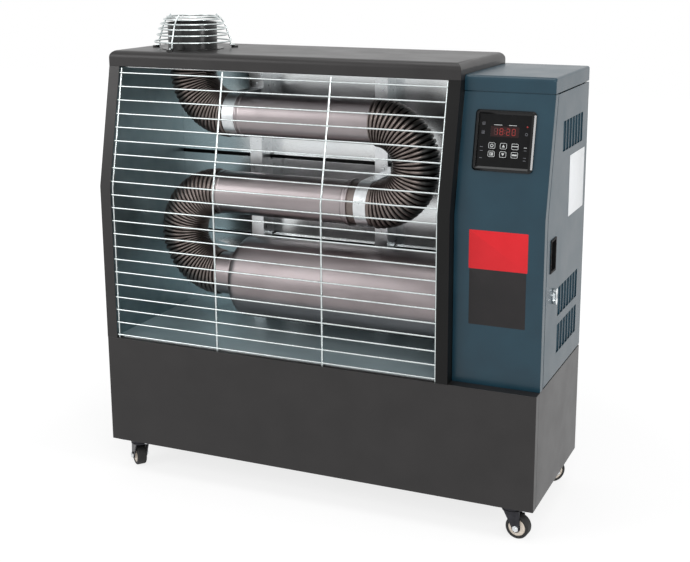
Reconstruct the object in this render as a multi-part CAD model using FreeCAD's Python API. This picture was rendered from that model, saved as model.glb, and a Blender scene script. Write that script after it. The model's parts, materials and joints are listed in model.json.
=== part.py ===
import FreeCAD, Part
import math
import os

os.makedirs("parts", exist_ok=True)

V = FreeCAD.Vector

# Sizes in mm. The frame is +Z up, front towards -Y, floor at Z = 0.
WIDTH = 920.0
DEPTH = 326.0
BASE_HEIGHT = 226.0
CABINET_WIDTH = 170.0
SHEET = 1.5
EDGE_LAND = 0.15
SEAM = 0.5
FIT_GAP = 0.05
RUN_FIT = 0.06
MOVE_GAP = 0.3
OVERCUT = 1.0

# Casters, from the floor up: wheel, gap, fork, swivel race, plate.
WHEEL_RADIUS = 23.0
WHEEL_WIDTH = 20.0
TYRE_DEPTH = 6.0
TYRE_ROUNDING = 3.0
HUB_SETBACK = 1.0
HUB_BOSS = 6.0
WHEEL_TO_FORK = 8.7
FORK_TOP = 2.5
FORK_RADIUS = 20.0
FORK_LEG = 2.5
FORK_INNER = 24.0
FORK_AHEAD = 14.0
FORK_BEHIND = 19.0
FORK_TIP = 8.5
AXLE_RADIUS = 3.0
AXLE_HEAD = 5.5
AXLE_HEAD_LENGTH = 3.0
RACE_RADIUS = 19.0
RACE_HEIGHT = 8.0
KINGPIN_RADIUS = 5.0
KINGPIN_NUT = 8.0
KINGPIN_NUT_HEIGHT = 2.5
PLATE_LENGTH = 72.0
PLATE_WIDTH = 54.0
PLATE_THICK = 2.5
CASTER_INSET_X = 48.0
CASTER_INSET_Y = 32.0
CASTER_TRAIL = 13.0
CASTER_TURN = {"front_left": 140.0, "front_right": -6.0, "rear_left": 100.0, "rear_right": 45.0}
BOLT_RADIUS = 2.5
BOLT_HEAD = 4.5
BOLT_HEAD_LENGTH = 3.0
BOLT_EDGE = 8.0

# Heater casing. The front is upright to the knee, then leans back to the cap.
KNEE_RISE = 319.0
CAP_HEIGHT = 31.0
CAP_SETBACK = 52.0
CAP_EDGE_RADIUS = 14.0
FRAME_STRIP = 24.0
BASE_WRAP = 18.0
SCREW_RADIUS = 2.0
SCREW_HEAD = 4.0
SCREW_HEAD_LENGTH = 2.2
SCREW_EDGE = 14.0
BACK_SCREW_COUNT = 4
BACK_SLOT_COUNT = 15
BACK_SLOT_PITCH = 40.0
BACK_SLOT_WIDTH = 12.0
BACK_SLOT_HEIGHT = 60.0
BACK_SLOT_RISE = 36.0
BACK_SLOT_DROP = 34.0

# Burner cabinet on the right.
CABINET_SETBACK = 24.0
CABINET_SEAM_DROP = 19.0
CABINET_CAP_HEIGHT = 28.0
CABINET_EDGE_RADIUS = 8.0
CORNER_WRAP = 18.0
CORNER_RETURN = 13.0
BACK_PANEL_STOP = 20.0
CABINET_SLOT_COUNT = 5
CABINET_SLOT_X = 26.0
CABINET_SLOT_PITCH = 22.0
CABINET_SLOT_WIDTH = 9.0
CABINET_SLOT_HEIGHT = 60.0
CABINET_SLOT_RISES = (334.0, 434.0)
CABINET_SCREW_RISE = 74.0
CABINET_SCREW_DROP = 25.0

# Door and its fittings, measured from the front face and the deck.
DOOR_GAP = 2.5
DOOR_DEPTH = 14.0
PIVOT_INSET = 8.0
PIVOT_RADIUS = 3.0
PIVOT_REACH = 11.0
PIVOT_SOCKET = 3.0
BRACKET_RISE = 2.0
BRACKET_THICK = 2.5
BRACKET_WIDTH = 34.0
BRACKET_DEPTH = 30.0
PULL_Y = 86.0
PULL_RISE = 244.0
PULL_WIDTH = 38.0
PULL_HEIGHT = 63.0
PULL_RIM = 4.0
PULL_DEPTH = 13.0
PULL_LIP = 1.5
LOCK_Y = 97.0
LOCK_RISE = 164.0
LOCK_RADIUS = 8.0
LOCK_ROSE_RADIUS = 11.0
LOCK_ROSE = 2.5
LOCK_REACH = 17.5
WING_REACH = 7.0
WING_LOBE = 6.5
WING_SPREAD = 9.0
WING_WAIST = 5.0
CAM_LENGTH = 62.0
CAM_WIDTH = 14.0
CAM_THICK = 2.0
LOUVRE_Y = 133.0
LOUVRE_RISES = (42.0, 115.0, 427.0)
LOUVRE_COUNT = 7
LOUVRE_PITCH = 22.0
LOUVRE_WIDTH = 18.5
LOUVRE_HEIGHT = 56.0

# Radiant tube run. All axes lie in one upright plane; its heights set the height of the casing.
TUBE_FROM_BACK = 166.0
TUBE_RADIUS = 44.5
TUBE_WALL = 1.5
CHAMBER_RISE = 119.0
LOWER_SPAN = 175.0
UPPER_SPAN = 164.0
TOP_TUBE_DROP = 100.0
ELBOW_RADIUS = 87.5
ELBOW_PLAIN = 19.4
UPPER_BEND_STOP = 206.5
LOWER_BEND_X = 187.0
CUFF_LENGTH = 50.0
CUFF_SHORT = 4.0
CUFF_STEP = 1.0
MID_TUBE_BEAD = 3.5
BEAD_LENGTH = 4.0
RIB_ROOT = 42.5
RIB_CREST = 48.0
BEND_BORE = 41.0
BEND_RIBS = 34
ELBOW_RIBS = 21
CHAMBER_RADIUS = 85.0
CHAMBER_WALL = 2.0
CHAMBER_STOP = 38.0
CHAMBER_TAPER = 14.0
NECK_LENGTH = 38.0
NECK_COLLAR = 9.0
NECK_STEP = 3.0
DOME_LENGTH = 36.0
DOME_MIDDLE = (14.0, 14.0)
DOME_EDGE = (24.0, 3.5)
END_RING = 26.0
END_RING_THICK = 6.0
COLLAR_X = 132.0
COLLAR_RADIUS = 50.0
COLLAR_WALL = 1.5
COLLAR_ABOVE_CAP = 53.5
COLLAR_FLANGE = 13.0
COLLAR_BELOW_CAP = 6.0

# Wire guard round the flue collar: ring radius and height above the cap.
FLUE_WIRE = 1.6
FLUE_RINGS = ((77.5, 15.5), (72.0, 29.0), (68.5, 41.0), (64.0, 51.0), (57.5, 60.0), (50.6, 65.0))
FLUE_RIB_TURNS = (-90.0, 45.0, 180.0)
FLUE_TIP_RISE = 4.0
FLUE_FOOT = 11.0
FLUE_FOOT_WELD = 45.0
FLUE_RING_WELD = 15.0
FOOT_PAD = 7.0
FOOT_THICK = 4.0

# Front guard of welded wire.
WIRE_RADIUS = 1.5
UPRIGHT_RADIUS = 2.0
UPRIGHT_BEND = 30.0
UPRIGHT_COUNT = 4
UPRIGHT_INSET = 26.0
UPRIGHT_TOP_GAP = 4.0
WELD_SINK = 0.3
WIRE_COUNT = 21
WIRE_RISE = 7.0
WIRE_DROP = 13.0
WIRE_INSET = 9.0

# Reflector box and the posts that carry the tubes.
LINER = 1.0
LINER_INSET = 16.0
LINER_FROM_BACK = 28.0
LINER_TOP_GAP = 3.0
LINER_SPLIT_RISES = (55.0, 58.0)
LINER_SLOT = 8.0
LINER_LIP = 9.0
LID_SETBACK = 14.0
LINER_SETBACK = 12.0
FLUE_HOLE_GAP = 2.0
CHAMBER_HOLE_GAP = 3.0
POST_TO_ELBOW = 8.5
POST_TO_BEND = 43.5
POST_WIDTH = 28.0
POST_FROM_BACK = 76.0
POST_SHEET = 2.0
POST_TOP_GAP = 1.0
POST_NOTCH = 10.0
STRAP = 1.5
STRAP_WIDTH = 26.0
STRAP_TO_ELBOW = 1.0
STRAP_TO_BEND = 34.0
STRAP_FOOT = 16.0
STRAP_SCREW = 9.6

# Burner and blower.
BLAST_RADIUS = 38.0
BLAST_WALL = 1.5
BLAST_REACH = 60.0
BLAST_FIT = 0.5
NOZZLE_RADIUS = 7.0
NOZZLE_SETBACK = 18.0
NOZZLE_STOP = 4.0
SPIDER_LENGTH = 8.0
SPIDER_HEIGHT = 8.0
HOUSING_STOP = 14.0
HOUSING_LENGTH = 56.0
HOUSING_RADIUS = 72.0
HOUSING_WALL = 2.0
HOUSING_INLET = 28.0
BLOWER_RADIUS = 56.0
BLOWER_INNER = 40.0
BLOWER_BLADES = 16
BLADE_THICK = 1.2
BLADE_TURN = 25.0
BLADE_EDGE = 1.0
BLOWER_STOP = 10.0
BLOWER_LENGTH = 32.0
BLOWER_PLATE = 2.0
BLOWER_RIM = 4.0
BLOWER_HUB_LENGTH = 16.0
BLOWER_HUB_RADIUS = 8.0
SHAFT_RADIUS = 4.0
SHAFT_REACH = 20.0
SHAFT_END_GAP = 2.0
MOTOR_STOP = 16.0
MOTOR_LENGTH = 52.0
MOTOR_RADIUS = 41.0
MOTOR_LEGS = 3
MOTOR_LEG = 5.0
LEG_CIRCLE = 34.0
COIL_RISE = 135.0
COIL_FROM_BACK = 56.0
COIL_FLANGE_DEPTH = 80.0
COIL_FLANGE_HEIGHT = 100.0
COIL_FLANGE = 2.0
COIL_EDGE_Y = 6.0
COIL_EDGE_Z = 10.0
COIL_THICK = 52.0
COIL_TERMINAL = 7.0
COIL_TERMINAL_INSET = 22.0

# Fuel side. The tank ends just past the pump that draws from it.
PUMP_X = 36.0
PUMP_Y = 78.0
PUMP_RADIUS = 22.0
PUMP_HEIGHT = 58.0
PUMP_FOOT = 3.0
PUMP_FOOT_WIDTH = 60.0
PUMP_FOOT_DEPTH = 52.0
PIPE_RADIUS = 3.0
PIPE_BEND = 12.0
PIPE_RUN = 6.0
PIPE_HOLE = 6.0
PIPE_INTO_BLAST = 8.0
SUCTION_FLOOR_GAP = 12.0
PORT_RADIUS = 7.0
PORT_LENGTH = 10.0
PORT_HEIGHT = 26.0
TANK_LEFT = 110.0
TANK_PAST_PUMP = 14.0
TANK_FRONT = 32.0
TANK_FROM_BACK = 28.0
TANK_LIFT = 6.0
TANK_WALL = 1.5
TANK_FOOT = 30.0
TANK_FOOT_INSET = 60.0
POCKET_DROP = 6.0
POCKET_WIDTH = 124.0
POCKET_DEPTH = 82.0
POCKET_HEIGHT = 68.0
NECK_RADIUS = 22.0
NECK_BORE = 19.0
NECK_RISE = 20.0
FILLER_FROM_BACK = 42.0
FILLER_CAP_RADIUS = 28.0
FILLER_CAP_HEIGHT = 22.0
FILLER_CAP_GAP = 1.2
GRIP_COUNT = 12
GRIP_RADIUS = 2.5
GRIP_OFFSET = 0.8

# Control panel on the leaning part of the cabinet front.
PANEL_FROM_RIGHT = 87.0
PANEL_DROP = 86.0
PANEL_WIDTH = 112.0
PANEL_HEIGHT = 110.0
PANEL_PROUD = 7.0
PANEL_FACE = 3.0
PANEL_RIM = 8.0
PANEL_CORNER = 7.0
PANEL_CUTOUT = 96.0
WINDOW_WIDTH = 52.0
WINDOW_HEIGHT = 19.0
WINDOW_V = 16.5
WINDOW_THICK = 2.7
WINDOW_PROUD = 0.2
KEY_U = (-21.4, 0.0, 21.4)
KEY_V = (-9.0, -24.0)
KEY_WIDTH = 14.0
KEY_HEIGHT = 12.0
KEY_PROUD = 1.2
KEY_TRAVEL = 0.8
KEY_FLANGE = 0.8
KEY_FLANGE_THICK = 1.0
KEY_CLEARANCE = 0.25
KEY_REST_GAP = 0.1
KEY_NAMES = ("key_power", "key_up", "key_mode", "key_timer", "key_down", "key_lock")
BOARD_BEHIND = 3.5
BOARD_THICK = 1.6
BOARD_EDGE = 2.0
BOARD_POST = 3.0
BOARD_POST_EDGE = 5.0
BOARD_SEAT = 0.5
SWITCH_SIZE = 6.0
RELAY_WIDTH = 50.0
RELAY_HEIGHT = 20.0
RELAY_THICK = 16.0
RELAY_U = -5.0
RELAY_V = 32.0
TERMINAL_WIDTH = 80.0
TERMINAL_HEIGHT = 12.0
TERMINAL_THICK = 10.0
TERMINAL_V = -36.0

# Mains inlet on the cabinet back.
INLET_FROM_RIGHT = 94.0
INLET_RISE = 32.0
INLET_FLANGE_WIDTH = 50.0
INLET_FLANGE_HEIGHT = 24.0
INLET_FLANGE = 2.5
INLET_BODY_WIDTH = 28.0
INLET_BODY_HEIGHT = 20.5
INLET_BODY_DEPTH = 24.0
INLET_CAVITY_WIDTH = 24.4
INLET_CAVITY_HEIGHT = 16.4
INLET_CAVITY_DEPTH = 18.0
INLET_PIN_LENGTH = 14.0
INLET_PIN_WIDTH = 2.0
INLET_PIN_HEIGHT = 4.0
INLET_PIN_SPREAD = 7.0
INLET_PIN_OFFSET = 2.0


# Levels and faces that the pieces share.
caster_height = WHEEL_RADIUS * 2 + WHEEL_TO_FORK + FORK_TOP + MOVE_GAP + RACE_HEIGHT + PLATE_THICK
X_LEFT = -WIDTH / 2
X_RIGHT = WIDTH / 2
X_DIVIDER = X_RIGHT - CABINET_WIDTH
X_CABINET = X_DIVIDER + SEAM
Y_FRONT = -DEPTH / 2
Y_BACK = DEPTH / 2
Y_INSIDE = Y_BACK - SHEET
Z_BASE = caster_height
Z_DECK = Z_BASE + BASE_HEIGHT
Z_WALL = Z_DECK - SHEET
Z_FLOOR = Z_BASE + SHEET * 2
Z_KNEE = Z_DECK + KNEE_RISE
Z_LOW = Z_DECK + CHAMBER_RISE
Z_MID = Z_LOW + LOWER_SPAN
Z_TOP = Z_MID + UPPER_SPAN
Z_CAP = Z_TOP + TOP_TUBE_DROP
Z_CAP_TOP = Z_CAP + CAP_HEIGHT
Z_SEAM = Z_CAP - CABINET_SEAM_DROP
Y_TUBE = Y_BACK - TUBE_FROM_BACK
SLOPE = CAP_SETBACK / (Z_CAP - Z_KNEE)
LEAN = math.atan(SLOPE)
UP = V(0, 0, 1)
BACKWARD = V(0, 1, 0)


def box(x0, x1, y0, y1, z0, z1):
    return Part.makeBox(x1 - x0, y1 - y0, z1 - z0, V(x0, y0, z0))


def slab(x, y, wide, deep, z0, z1):
    # box given by its middle in plan
    return box(x - wide / 2, x + wide / 2, y - deep / 2, y + deep / 2, z0, z1)


def rod(radius, start, end):
    along = end - start
    return Part.makeCylinder(radius, along.Length, start, along)


def along_x(radius, axis, x0, x1):
    return rod(radius, V(x0, axis.y, axis.z), V(x1, axis.y, axis.z))


def along_z(radius, axis, z0, z1):
    return rod(radius, V(axis.x, axis.y, z0), V(axis.x, axis.y, z1))


def prism_x(points, x0, x1):
    corners = [V(x0, y, z) for y, z in points]
    face = Part.Face(Part.makePolygon(corners + corners[:1]))
    return face.extrude(V(x1 - x0, 0, 0))


def strip(points, thick, x0, x1):
    # folded sheet that follows a line in the YZ plane
    inner = [(y + thick, z) for y, z in reversed(points)]
    return prism_x(list(points) + inner, x0, x1)


def fuse(shapes):
    return shapes[0].multiFuse(shapes[1:]).removeSplitter()


def group(shapes):
    return Part.makeCompound(shapes)


def front_y(z, set_back=0.0):
    return Y_FRONT + set_back + max(0.0, z - Z_KNEE) * SLOPE


def front_line(z0, z1, set_back=0.0):
    return [(front_y(z, set_back), z) for z in (z0, Z_KNEE, z1)]


def edges_where(shape, test):
    return [e for e in shape.Edges if all(test(v) for v in e.Vertexes)]


def near(a, b):
    return abs(a - b) < 0.01


def swept(points, radius, bend_radius):
    # round bar through points, with an arc at each corner
    edges = []
    tail = points[0]
    for here, ahead in zip(points[1:-1], points[2:]):
        come = (here - tail).normalize()
        go = (ahead - here).normalize()
        half = come.getAngle(go) / 2
        start = here - come * (bend_radius * math.tan(half))
        end = here + go * (bend_radius * math.tan(half))
        middle = here + (go - come).normalize() * (bend_radius / math.cos(half) - bend_radius)
        edges.append(Part.LineSegment(tail, start).toShape())
        edges.append(Part.Arc(start, middle, end).toShape())
        tail = end
    edges.append(Part.LineSegment(tail, points[-1]).toShape())
    ring = Part.Wire(Part.makeCircle(radius, points[0], points[1] - points[0]))
    return Part.Wire(edges).makePipeShell([ring], True, False)


def screw(seat, out, radius, head, head_length, shank):
    # pan head on its seat with the shank behind it
    top = rod(head, seat, seat + out * head_length)
    return top.fuse(rod(radius, seat, seat - out * shank))


def save(name, shape):
    if not shape.isValid():
        print("not valid:", name)
    shape.exportStep("parts/" + name + ".step")


# Base: a front panel folded round both corners, sides, back, floor plate and deck.
base_front = fuse([
    box(X_LEFT, X_RIGHT, Y_FRONT, Y_FRONT + SHEET, Z_BASE, Z_WALL),
    box(X_LEFT, X_LEFT + SHEET, Y_FRONT, Y_FRONT + BASE_WRAP, Z_BASE, Z_WALL),
    box(X_RIGHT - SHEET, X_RIGHT, Y_FRONT, Y_FRONT + BASE_WRAP, Z_BASE, Z_WALL),
])
fold_edges = [
    e for e in edges_where(base_front, lambda v: near(abs(v.X), X_RIGHT) and near(v.Y, Y_FRONT))
    if not near(e.Vertexes[0].Z, e.Vertexes[-1].Z)
]
save("base_front_panel", base_front.makeFillet(SHEET - EDGE_LAND, fold_edges))

side_front = Y_FRONT + BASE_WRAP + SEAM
save("base_side_panels", group([
    box(X_LEFT, X_LEFT + SHEET, side_front, Y_INSIDE, Z_BASE, Z_WALL),
    box(X_RIGHT - SHEET, X_RIGHT, side_front, Y_INSIDE, Z_BASE, Z_WALL),
]))

pump_axis = V(X_DIVIDER + PUMP_X, Y_FRONT + PUMP_Y, 0)
suction = pump_axis + BACKWARD * (PUMP_RADIUS + PORT_LENGTH + PIPE_BEND + PIPE_RUN)
x_tank = X_LEFT + TANK_LEFT
x_tank_end = pump_axis.x + TANK_PAST_PUMP
z_pocket_top = Z_WALL - POCKET_DROP
z_pocket = z_pocket_top - POCKET_HEIGHT
z_tank = Z_FLOOR + TANK_LIFT
z_tank_top = z_pocket - SHEET
x_pocket = x_tank_end - POCKET_WIDTH
y_pocket = Y_BACK - POCKET_DEPTH
base_back = box(X_LEFT, X_RIGHT, Y_INSIDE, Y_BACK, Z_BASE, Z_WALL)
save("base_back_panel", base_back.cut(box(x_pocket, x_tank_end, y_pocket, Y_BACK, z_pocket, z_pocket_top)))

chassis = box(X_LEFT + SHEET, X_RIGHT - SHEET, Y_FRONT + SHEET, Y_INSIDE, Z_BASE, Z_FLOOR)

deck = box(X_LEFT, X_RIGHT, Y_FRONT, Y_BACK, Z_WALL, Z_DECK)
deck = deck.cut(along_z(PIPE_HOLE, suction, Z_WALL - OVERCUT, Z_DECK + OVERCUT))
deck_lip = edges_where(deck, lambda v: near(v.Y, Y_FRONT) and near(v.Z, Z_DECK))
save("base_deck", deck.makeFillet(SHEET - EDGE_LAND * 2, deck_lip))

# Heater casing panels.
side_outline = front_line(Z_DECK, Z_CAP) + [(Y_INSIDE, Z_CAP), (Y_INSIDE, Z_DECK)]
frame_line = front_line(Z_DECK, Z_CAP)
save("left_side_panel", fuse([
    prism_x(side_outline, X_LEFT, X_LEFT + SHEET),
    strip(frame_line, SHEET, X_LEFT, X_LEFT + FRAME_STRIP),
]))

low_axis = V(0, Y_TUBE, Z_LOW)
mid_axis = V(0, Y_TUBE, Z_MID)
top_axis = V(0, Y_TUBE, Z_TOP)
divider = fuse([
    prism_x(side_outline, X_DIVIDER - SHEET, X_DIVIDER),
    strip(frame_line, SHEET, X_DIVIDER - FRAME_STRIP, X_DIVIDER),
])
save("divider_panel", divider.cut(
    along_x(BLAST_RADIUS + FIT_GAP, low_axis, X_DIVIDER - SHEET - OVERCUT, X_DIVIDER + OVERCUT)))

screws = []


def back_panel(x0, x1, z0, z1, slots, screw_points):
    # slots as left edge, width, lower edge, height
    panel = box(x0, x1, Y_INSIDE, Y_BACK, z0, z1)
    cuts = [box(x, x + wide, Y_INSIDE - OVERCUT, Y_BACK + OVERCUT, z, z + tall)
            for x, wide, z, tall in slots]
    for x, z in screw_points:
        seat = V(x, Y_BACK, z)
        cuts.append(rod(SCREW_RADIUS + FIT_GAP, seat + BACKWARD, seat - BACKWARD * (SHEET + OVERCUT)))
        screws.append(screw(seat, BACKWARD, SCREW_RADIUS, SCREW_HEAD, SCREW_HEAD_LENGTH, SHEET))
    return panel.cut(cuts)


row_length = BACK_SLOT_PITCH * (BACK_SLOT_COUNT - 1) + BACK_SLOT_WIDTH
row_left = (X_LEFT + X_DIVIDER - row_length) / 2
row_heights = (Z_DECK + BACK_SLOT_RISE, Z_CAP - BACK_SLOT_DROP - BACK_SLOT_HEIGHT)
back_slots = [(row_left + BACK_SLOT_PITCH * i, BACK_SLOT_WIDTH, z, BACK_SLOT_HEIGHT)
              for i in range(BACK_SLOT_COUNT) for z in row_heights]
screw_step = (X_DIVIDER - X_LEFT - SCREW_EDGE * 2) / (BACK_SCREW_COUNT - 1)
back_screws = [(X_LEFT + SCREW_EDGE + screw_step * i, z) for i in range(BACK_SCREW_COUNT)
               for z in (Z_DECK + SCREW_EDGE, Z_CAP - SCREW_EDGE)]
save("heater_back_panel", back_panel(X_LEFT, X_DIVIDER, Z_DECK, Z_CAP, back_slots, back_screws))

collar_axis = V(X_LEFT + COLLAR_X, Y_TUBE, 0)


def lid(x0, x1, y0, z0, z1, radius, rounded):
    # folded lid of sheet, open below, with the edges that pass the test rounded inside and out
    outer = box(x0, x1, y0, Y_BACK, z0, z1)
    inner = box(x0 + SHEET, x1 - SHEET, y0 + SHEET, Y_INSIDE, z0 - OVERCUT, z1 - SHEET)
    outer = outer.makeFillet(radius, edges_where(outer, lambda v: rounded(v, y0, z1)))
    inner = inner.makeFillet(radius - SHEET,
                             edges_where(inner, lambda v: rounded(v, y0 + SHEET, z1 - SHEET)))
    return outer.cut(inner)


cap = lid(X_LEFT, X_DIVIDER, front_y(Z_CAP), Z_CAP, Z_CAP_TOP, CAP_EDGE_RADIUS,
          lambda v, front, top: near(v.Z, top))
save("top_cap", cap.cut(along_z(COLLAR_RADIUS + FIT_GAP, collar_axis, Z_CAP, Z_CAP_TOP + OVERCUT)))

# Burner cabinet: front panel folded round the corner, cap, back, door.
corner_line = front_line(Z_DECK, Z_SEAM, CABINET_SETBACK)
return_line = [(y + CORNER_WRAP - SHEET, z) for y, z in corner_line]
corner = fuse([
    strip(corner_line, SHEET, X_CABINET, X_RIGHT),
    strip(corner_line, CORNER_WRAP, X_RIGHT - SHEET, X_RIGHT),
    strip(return_line, SHEET, X_RIGHT - CORNER_RETURN, X_RIGHT),
])

z_panel = Z_SEAM - PANEL_DROP
panel_lean = FreeCAD.Rotation(V(1, 0, 0), V(0, math.sin(LEAN), math.cos(LEAN)),
                              V(0, -math.cos(LEAN), math.sin(LEAN)), "XYZ")
panel_origin = V(X_RIGHT - PANEL_FROM_RIGHT, front_y(z_panel, CABINET_SETBACK), z_panel)
panel_place = FreeCAD.Placement(panel_origin, panel_lean)


def on_panel(shape):
    # from panel coordinates (across, up the slope, outward) to the frame
    return shape.transformed(panel_place.toMatrix())


half_cut = PANEL_CUTOUT / 2
save("cabinet_front_panel", corner.cut(on_panel(
    box(-half_cut, half_cut, -half_cut, half_cut, -SHEET - OVERCUT, OVERCUT))))

z_cabinet_top = Z_SEAM + CABINET_CAP_HEIGHT
save("cabinet_top_cap", lid(
    X_CABINET, X_RIGHT, front_y(Z_SEAM, CABINET_SETBACK), Z_SEAM, z_cabinet_top, CABINET_EDGE_RADIUS,
    lambda v, front, top: near(v.Z, top) and near(v.Y, front)))

x_back_stop = X_RIGHT - BACK_PANEL_STOP
inlet_x = X_RIGHT - INLET_FROM_RIGHT
inlet_z = Z_DECK + INLET_RISE
cabinet_slots = [(X_DIVIDER + CABINET_SLOT_X + CABINET_SLOT_PITCH * i, CABINET_SLOT_WIDTH,
                  Z_DECK + rise, CABINET_SLOT_HEIGHT)
                 for i in range(CABINET_SLOT_COUNT) for rise in CABINET_SLOT_RISES]
cabinet_slots.append((inlet_x - INLET_BODY_WIDTH / 2, INLET_BODY_WIDTH,
                      inlet_z - INLET_BODY_HEIGHT / 2, INLET_BODY_HEIGHT))
cabinet_screws = [(x, z) for x in (X_DIVIDER + SCREW_EDGE, x_back_stop - SCREW_EDGE)
                  for z in (Z_DECK + CABINET_SCREW_RISE, Z_SEAM - CABINET_SCREW_DROP)]
cabinet_back = back_panel(X_CABINET, x_back_stop, Z_DECK, Z_SEAM, cabinet_slots, cabinet_screws)
save("cabinet_back_panel", fuse([
    cabinet_back,
    box(x_back_stop - SHEET, x_back_stop, Y_INSIDE - CORNER_RETURN, Y_INSIDE, Z_DECK, Z_SEAM),
]))

door_bottom = Z_DECK + DOOR_GAP
door_top = Z_SEAM - DOOR_GAP
door_front = CABINET_SETBACK + CORNER_WRAP + DOOR_GAP


def door_outline(inset):
    line = front_line(door_bottom + inset, door_top - inset, door_front + inset)
    return line + [(Y_BACK - inset, door_top - inset), (Y_BACK - inset, door_bottom + inset)]


door = prism_x(door_outline(0), X_RIGHT - DOOR_DEPTH, X_RIGHT)
door = door.cut(prism_x(door_outline(SHEET), X_RIGHT - DOOR_DEPTH - OVERCUT, X_RIGHT - SHEET))
pivot = V(X_RIGHT - PIVOT_INSET, Y_BACK - PIVOT_INSET, 0)
door_cuts = [along_z(PIVOT_RADIUS + RUN_FIT, pivot, z - PIVOT_SOCKET, z + PIVOT_SOCKET)
             for z in (door_bottom, door_top)]
for rise in LOUVRE_RISES:
    for i in range(LOUVRE_COUNT):
        y0 = Y_FRONT + LOUVRE_Y + i * LOUVRE_PITCH
        door_cuts.append(box(X_RIGHT - SHEET - OVERCUT, X_RIGHT + OVERCUT, y0, y0 + LOUVRE_WIDTH,
                             Z_DECK + rise, Z_DECK + rise + LOUVRE_HEIGHT))
pull_y = Y_FRONT + PULL_Y
pull_z = Z_DECK + PULL_RISE


def pull_block(x0, x1, rim):
    wide = PULL_WIDTH / 2 - rim
    tall = PULL_HEIGHT / 2 - rim
    return box(x0, x1, pull_y - wide, pull_y + wide, pull_z - tall, pull_z + tall)


door_cuts.append(pull_block(X_RIGHT - SHEET - OVERCUT, X_RIGHT + OVERCUT, PULL_RIM - SHEET))
lock_axis = V(0, Y_FRONT + LOCK_Y, Z_DECK + LOCK_RISE)
door_cuts.append(along_x(LOCK_RADIUS + RUN_FIT, lock_axis, X_RIGHT - SHEET - OVERCUT, X_RIGHT + OVERCUT))
save("cabinet_door", door.cut(door_cuts))

pull = fuse([
    pull_block(X_RIGHT, X_RIGHT + PULL_LIP, 0),
    pull_block(X_RIGHT - PULL_DEPTH, X_RIGHT + PULL_LIP, PULL_RIM - SHEET),
])
save("door_pull", pull.cut(
    pull_block(X_RIGHT - PULL_DEPTH + SHEET, X_RIGHT + PULL_LIP + OVERCUT, PULL_RIM)))

z_bracket = Z_SEAM + BRACKET_RISE
save("door_pivot_pins", group([
    along_z(PIVOT_RADIUS, pivot, Z_DECK, Z_DECK + PIVOT_REACH),
    fuse([
        along_z(PIVOT_RADIUS, pivot, Z_SEAM - PIVOT_REACH, z_bracket + BRACKET_THICK / 2),
        box(X_RIGHT - SHEET - BRACKET_WIDTH, X_RIGHT - SHEET, Y_INSIDE - BRACKET_DEPTH, Y_INSIDE,
            z_bracket, z_bracket + BRACKET_THICK),
    ]),
]))

# Lock: a rose on the door, a wing of two lobes to turn it, and a cam behind the door.
x_rose = X_RIGHT + LOCK_ROSE
x_wing = X_RIGHT + WING_REACH
x_lobe = x_rose - LOCK_ROSE / 2
x_cam = X_RIGHT - LOCK_REACH
save("door_lock", fuse([
    along_x(LOCK_ROSE_RADIUS, lock_axis, X_RIGHT + FIT_GAP, x_rose),
    along_x(LOCK_RADIUS, lock_axis, x_cam, x_rose),
    along_x(WING_LOBE, lock_axis + UP * WING_SPREAD, x_lobe, x_wing),
    along_x(WING_LOBE, lock_axis - UP * WING_SPREAD, x_lobe, x_wing),
    box(x_lobe, x_wing, lock_axis.y - WING_WAIST / 2, lock_axis.y + WING_WAIST / 2,
        lock_axis.z - WING_SPREAD, lock_axis.z + WING_SPREAD),
    box(x_cam, x_cam + CAM_THICK, lock_axis.y - CAM_WIDTH / 2, lock_axis.y + CAM_WIDTH / 2,
        lock_axis.z - CAM_WIDTH / 2, lock_axis.z + CAM_LENGTH),
]))

# Places of two bends along the tube run, and of the post and strap at each.
x_elbow = X_LEFT + COLLAR_X + ELBOW_RADIUS
x_upper_bend = X_DIVIDER - UPPER_BEND_STOP
y_post = Y_BACK - POST_FROM_BACK
strap_runs = (
    (x_elbow - POST_TO_ELBOW, x_elbow + STRAP_TO_ELBOW, top_axis),
    (x_upper_bend - POST_TO_BEND, x_upper_bend - STRAP_TO_BEND, mid_axis),
)

# Reflector box: three back sheets with slots between their lips, a floor, a lid and two sides.
y_liner = Y_BACK - LINER_FROM_BACK
x_liner = X_LEFT + LINER_INSET
x_liner_end = X_DIVIDER - LINER_INSET
z_liner_top = Z_CAP - LINER_TOP_GAP
liner_splits = (Z_LOW + LINER_SPLIT_RISES[0], Z_MID + LINER_SPLIT_RISES[1])
half_slot = LINER_SLOT / 2


def liner_sheet(z0, z1, lip_heights):
    sheet = [box(x_liner, x_liner_end, y_liner - LINER, y_liner, z0, z1)]
    sheet += [box(x_liner, x_liner_end, y_liner - LINER_LIP, y_liner, z, z + LINER) for z in lip_heights]
    return fuse(sheet)


lower_edge, upper_edge = liner_splits
liner_floor = box(x_liner, x_liner_end, Y_FRONT + LINER_SETBACK, y_liner - LINER, Z_DECK, Z_DECK + LINER)
for x0, strap_a, axis in strap_runs:
    liner_floor = liner_floor.cut(box(x0 - FIT_GAP, x0 + POST_WIDTH + FIT_GAP, y_post - FIT_GAP, y_liner,
                                      Z_DECK - OVERCUT, Z_DECK + LINER + OVERCUT))
liner_lid = box(x_liner, x_liner_end, front_y(z_liner_top) + LID_SETBACK, y_liner,
                z_liner_top, z_liner_top + LINER)
liner_lid = liner_lid.cut(along_z(RIB_CREST + FLUE_HOLE_GAP, collar_axis, z_liner_top - OVERCUT, Z_CAP))
save("reflector_panels", group([
    liner_sheet(Z_DECK, lower_edge - half_slot, [lower_edge - half_slot - LINER]),
    liner_sheet(lower_edge + half_slot, upper_edge - half_slot,
                [lower_edge + half_slot, upper_edge - half_slot - LINER]),
    liner_sheet(upper_edge + half_slot, z_liner_top, [upper_edge + half_slot]),
    liner_floor,
    liner_lid,
]))

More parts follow.
